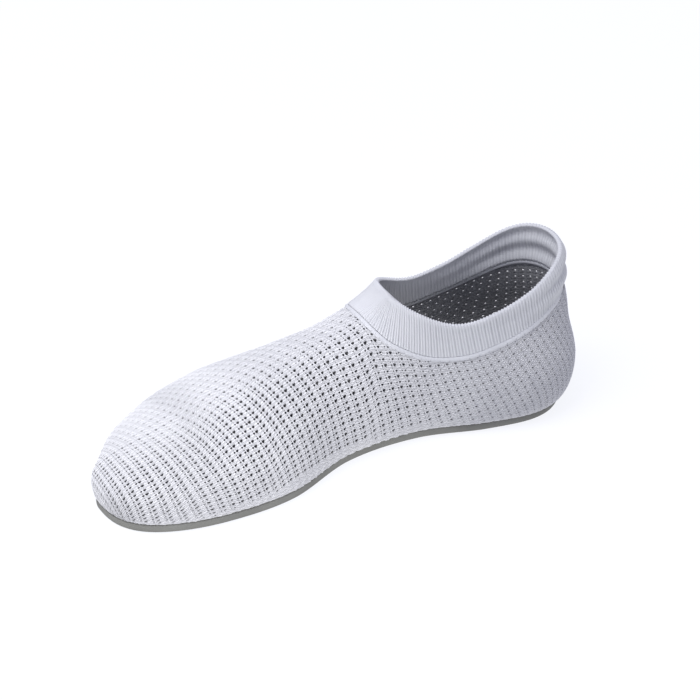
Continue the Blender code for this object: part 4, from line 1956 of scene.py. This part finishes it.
@dataclass
class Studio:
    """Pale floor, soft light and a camera at the picture's angle."""
    floor_size: float = 14.0
    floor_colour: Colour = (0.16, 0.16, 0.16)
    floor_rough: float = 0.9
    floor_specular: float = 0.1
    floor_tint: Colour = (0.95, 0.96, 1.0)
    floor_glow: float = 0.89
    key_place: Place = (0.70, 0.20, 1.75)
    key_aim: Place = (0.0, 0.0, 0.03)
    key_size: float = 1.0
    key_watts: float = 23.0
    spot_place: Place = (0.55, 1.10, 0.75)
    spot_aim: Place = (0.07, 0.03, 0.03)
    spot_angle: float = 11.0
    spot_blend: float = 1.0
    spot_soft: float = 0.03
    spot_watts: float = 40.0
    sky: Colour = (0.79, 0.81, 1.0)
    world: float = 0.48
    sky_lean: Place = (0.14, 0.02, 0.22)
    camera_place: Place = (0.45506, 0.91940, 0.6439)
    camera_turn: float = 26.75
    camera_tilt: float = 30.0
    lens: float = 122.76
    sensor: float = 36.0

    def floor(self) -> None:
        """Lay the floor."""
        half = self.floor_size / 2
        corners = [(-half, -half, 0), (half, -half, 0), (half, half, 0), (-half, half, 0)]
        mesh = plain_mesh(np.array(corners), [(0, 1, 2, 3)], "floor")
        material, _, shader = new_material("pale_floor")
        set_plain(shader, {
            "Base Color": (*self.floor_colour, 1.0), "Roughness": self.floor_rough,
            "Specular IOR Level": self.floor_specular,
            "Emission Color": (*self.floor_tint, 1.0), "Emission Strength": self.floor_glow})
        mesh.materials.append(material)
        floor = loose_object("floor", mesh)

    @staticmethod
    def hang(light: bpy.types.Light, place: Place, aim: Place) -> None:
        """Hang a light at a place and point it at its aim.

        Args:
            light: the light.
            place: where it hangs.
            aim: the point it is aimed at.
        """
        lamp = bpy.data.objects.new(light.name, light)
        lamp.location = place
        lamp.rotation_euler = (Vector(aim) - Vector(place)).to_track_quat("-Z", "Y").to_euler()
        bpy.context.scene.collection.objects.link(lamp)

    def lamps(self) -> None:
        """Hang a soft square lamp over the slipper, and a spotlight that fades out round the forefoot."""
        key = bpy.data.lights.new("key_lamp", "AREA")
        key.size = self.key_size
        key.energy = self.key_watts
        self.hang(key, self.key_place, self.key_aim)
        spot = bpy.data.lights.new("forefoot_spot", "SPOT")
        spot.energy = self.spot_watts
        spot.spot_size = math.radians(self.spot_angle)
        spot.spot_blend = self.spot_blend
        spot.shadow_soft_size = self.spot_soft
        self.hang(spot, self.spot_place, self.spot_aim)

    def surroundings(self) -> None:
        """Soft light from all round, stronger from above and from the toe's side."""
        world = bpy.data.worlds.new("studio")
        world.use_nodes = True
        tree = world.node_tree
        toward = put(tree, "ShaderNodeTexCoord").outputs["Generated"]
        leaning = put(tree, "ShaderNodeVectorMath", {"operation": "DOT_PRODUCT"},
                      {0: toward, 1: self.sky_lean})
        strength = calc(tree, "ADD", leaning.outputs["Value"], self.world)
        background = tree.nodes["Background"]
        set_plain(background, {"Color": (*self.sky, 1.0)})
        tree.links.new(strength, background.inputs["Strength"])
        bpy.context.scene.world = world

    def build(self) -> None:
        """Set up the floor, the lamps, the surroundings and the camera."""
        self.floor()
        self.lamps()
        self.surroundings()
        bpy.context.scene.view_settings.view_transform = "Standard"
        turn, tilt = math.radians(self.camera_turn), math.radians(self.camera_tilt)
        back = Vector((math.sin(turn) * math.cos(tilt), math.cos(turn) * math.cos(tilt), math.sin(tilt)))
        camera = bpy.data.cameras.new("camera")
        camera.lens = self.lens
        camera.sensor_width = self.sensor
        eye = bpy.data.objects.new("camera", camera)
        eye.location = self.camera_place
        eye.rotation_euler = (-back).to_track_quat("-Z", "Y").to_euler()
        bpy.context.scene.collection.objects.link(eye)
        bpy.context.scene.camera = eye


# The knit's furrows are darkened by painted shade, down to 0.58 of its colour
KNIT = YarnFinish("white_knit_yarn", (0.76, 0.76, 0.77), (0.72, 0.72, 0.735),
                  hollow=-0.20, crest=0.24, shade=0.58)
# Painted shade: the knit's inside is dark grey, standing in for the shade inside the slipper, so the eyelets
# look dark
KNIT_INSIDE_SHADE = YarnFinish("knit_inside", (0.34, 0.34, 0.35), (0.30, 0.30, 0.31), sheen=0.0, specular=0.05)
# Painted shade: the eyelets' edges are grey so that the holes look darker and crisper
EYELET_EDGE_SHADE = YarnFinish("eyelet_edge", (0.50, 0.50, 0.51), (0.45, 0.45, 0.46), sheen=0.0, specular=0.05)
# The ribs' grooves are darkened by painted shade, down to 0.78 of their colour
RIB = YarnFinish("white_rib_yarn", (0.67, 0.675, 0.69), (0.635, 0.64, 0.66),
                 plies=0.7, hollow=-0.5, crest=0.3, shade=0.78)
# Painted shade: the thread darkens to 0.3 of its colour in the needle holes' pits
THREAD = YarnFinish("white_overlock_thread", (0.66, 0.665, 0.68), (0.62, 0.625, 0.65),
                    plies=0.9, hollow=-0.45, crest=-0.1, shade=0.3)
FOAM = GrainFinish("grey_sole_foam", (0.23, 0.23, 0.21), (0.18, 0.18, 0.165), grain=900.0, mottle=40.0,
                   rough_low=0.75, rough_high=0.95, bump=0.35, bump_depth=0.0004)
# Painted shade: the footbed cloth is dark grey, standing in for the shade inside the slipper that shows
# through the eyelets
FOOTBED_PAINTED_SHADE = GrainFinish("grey_footbed_cloth", (0.13, 0.13, 0.135), (0.11, 0.11, 0.115), grain=1400.0,
                            mottle=25.0, rough_low=0.85, rough_high=0.97, bump=0.4, bump_depth=0.0003)


def main() -> None:
    logging.basicConfig(level=logging.INFO, format="%(name)s: %(message)s")
    groups = FinishGroups()
    last = Last()
    wrap = TileWrap()
    band = CollarBand(last)
    board = Board(last)
    FoamSole(board).build(FOAM.material(groups))
    Footbed(board).build(FOOTBED_PAINTED_SHADE.material(groups))
    knit = tuple(finish.material(groups) for finish in (KNIT, KNIT_INSIDE_SHADE, EYELET_EDGE_SHADE))
    KnitUpper(last, wrap).build(knit)
    OverlockSeam(band, wrap).build(THREAD.material(groups))
    RibCuff(band, wrap).build(RIB.material(groups))
    Studio().build()


if __name__ == "__main__":
    main()
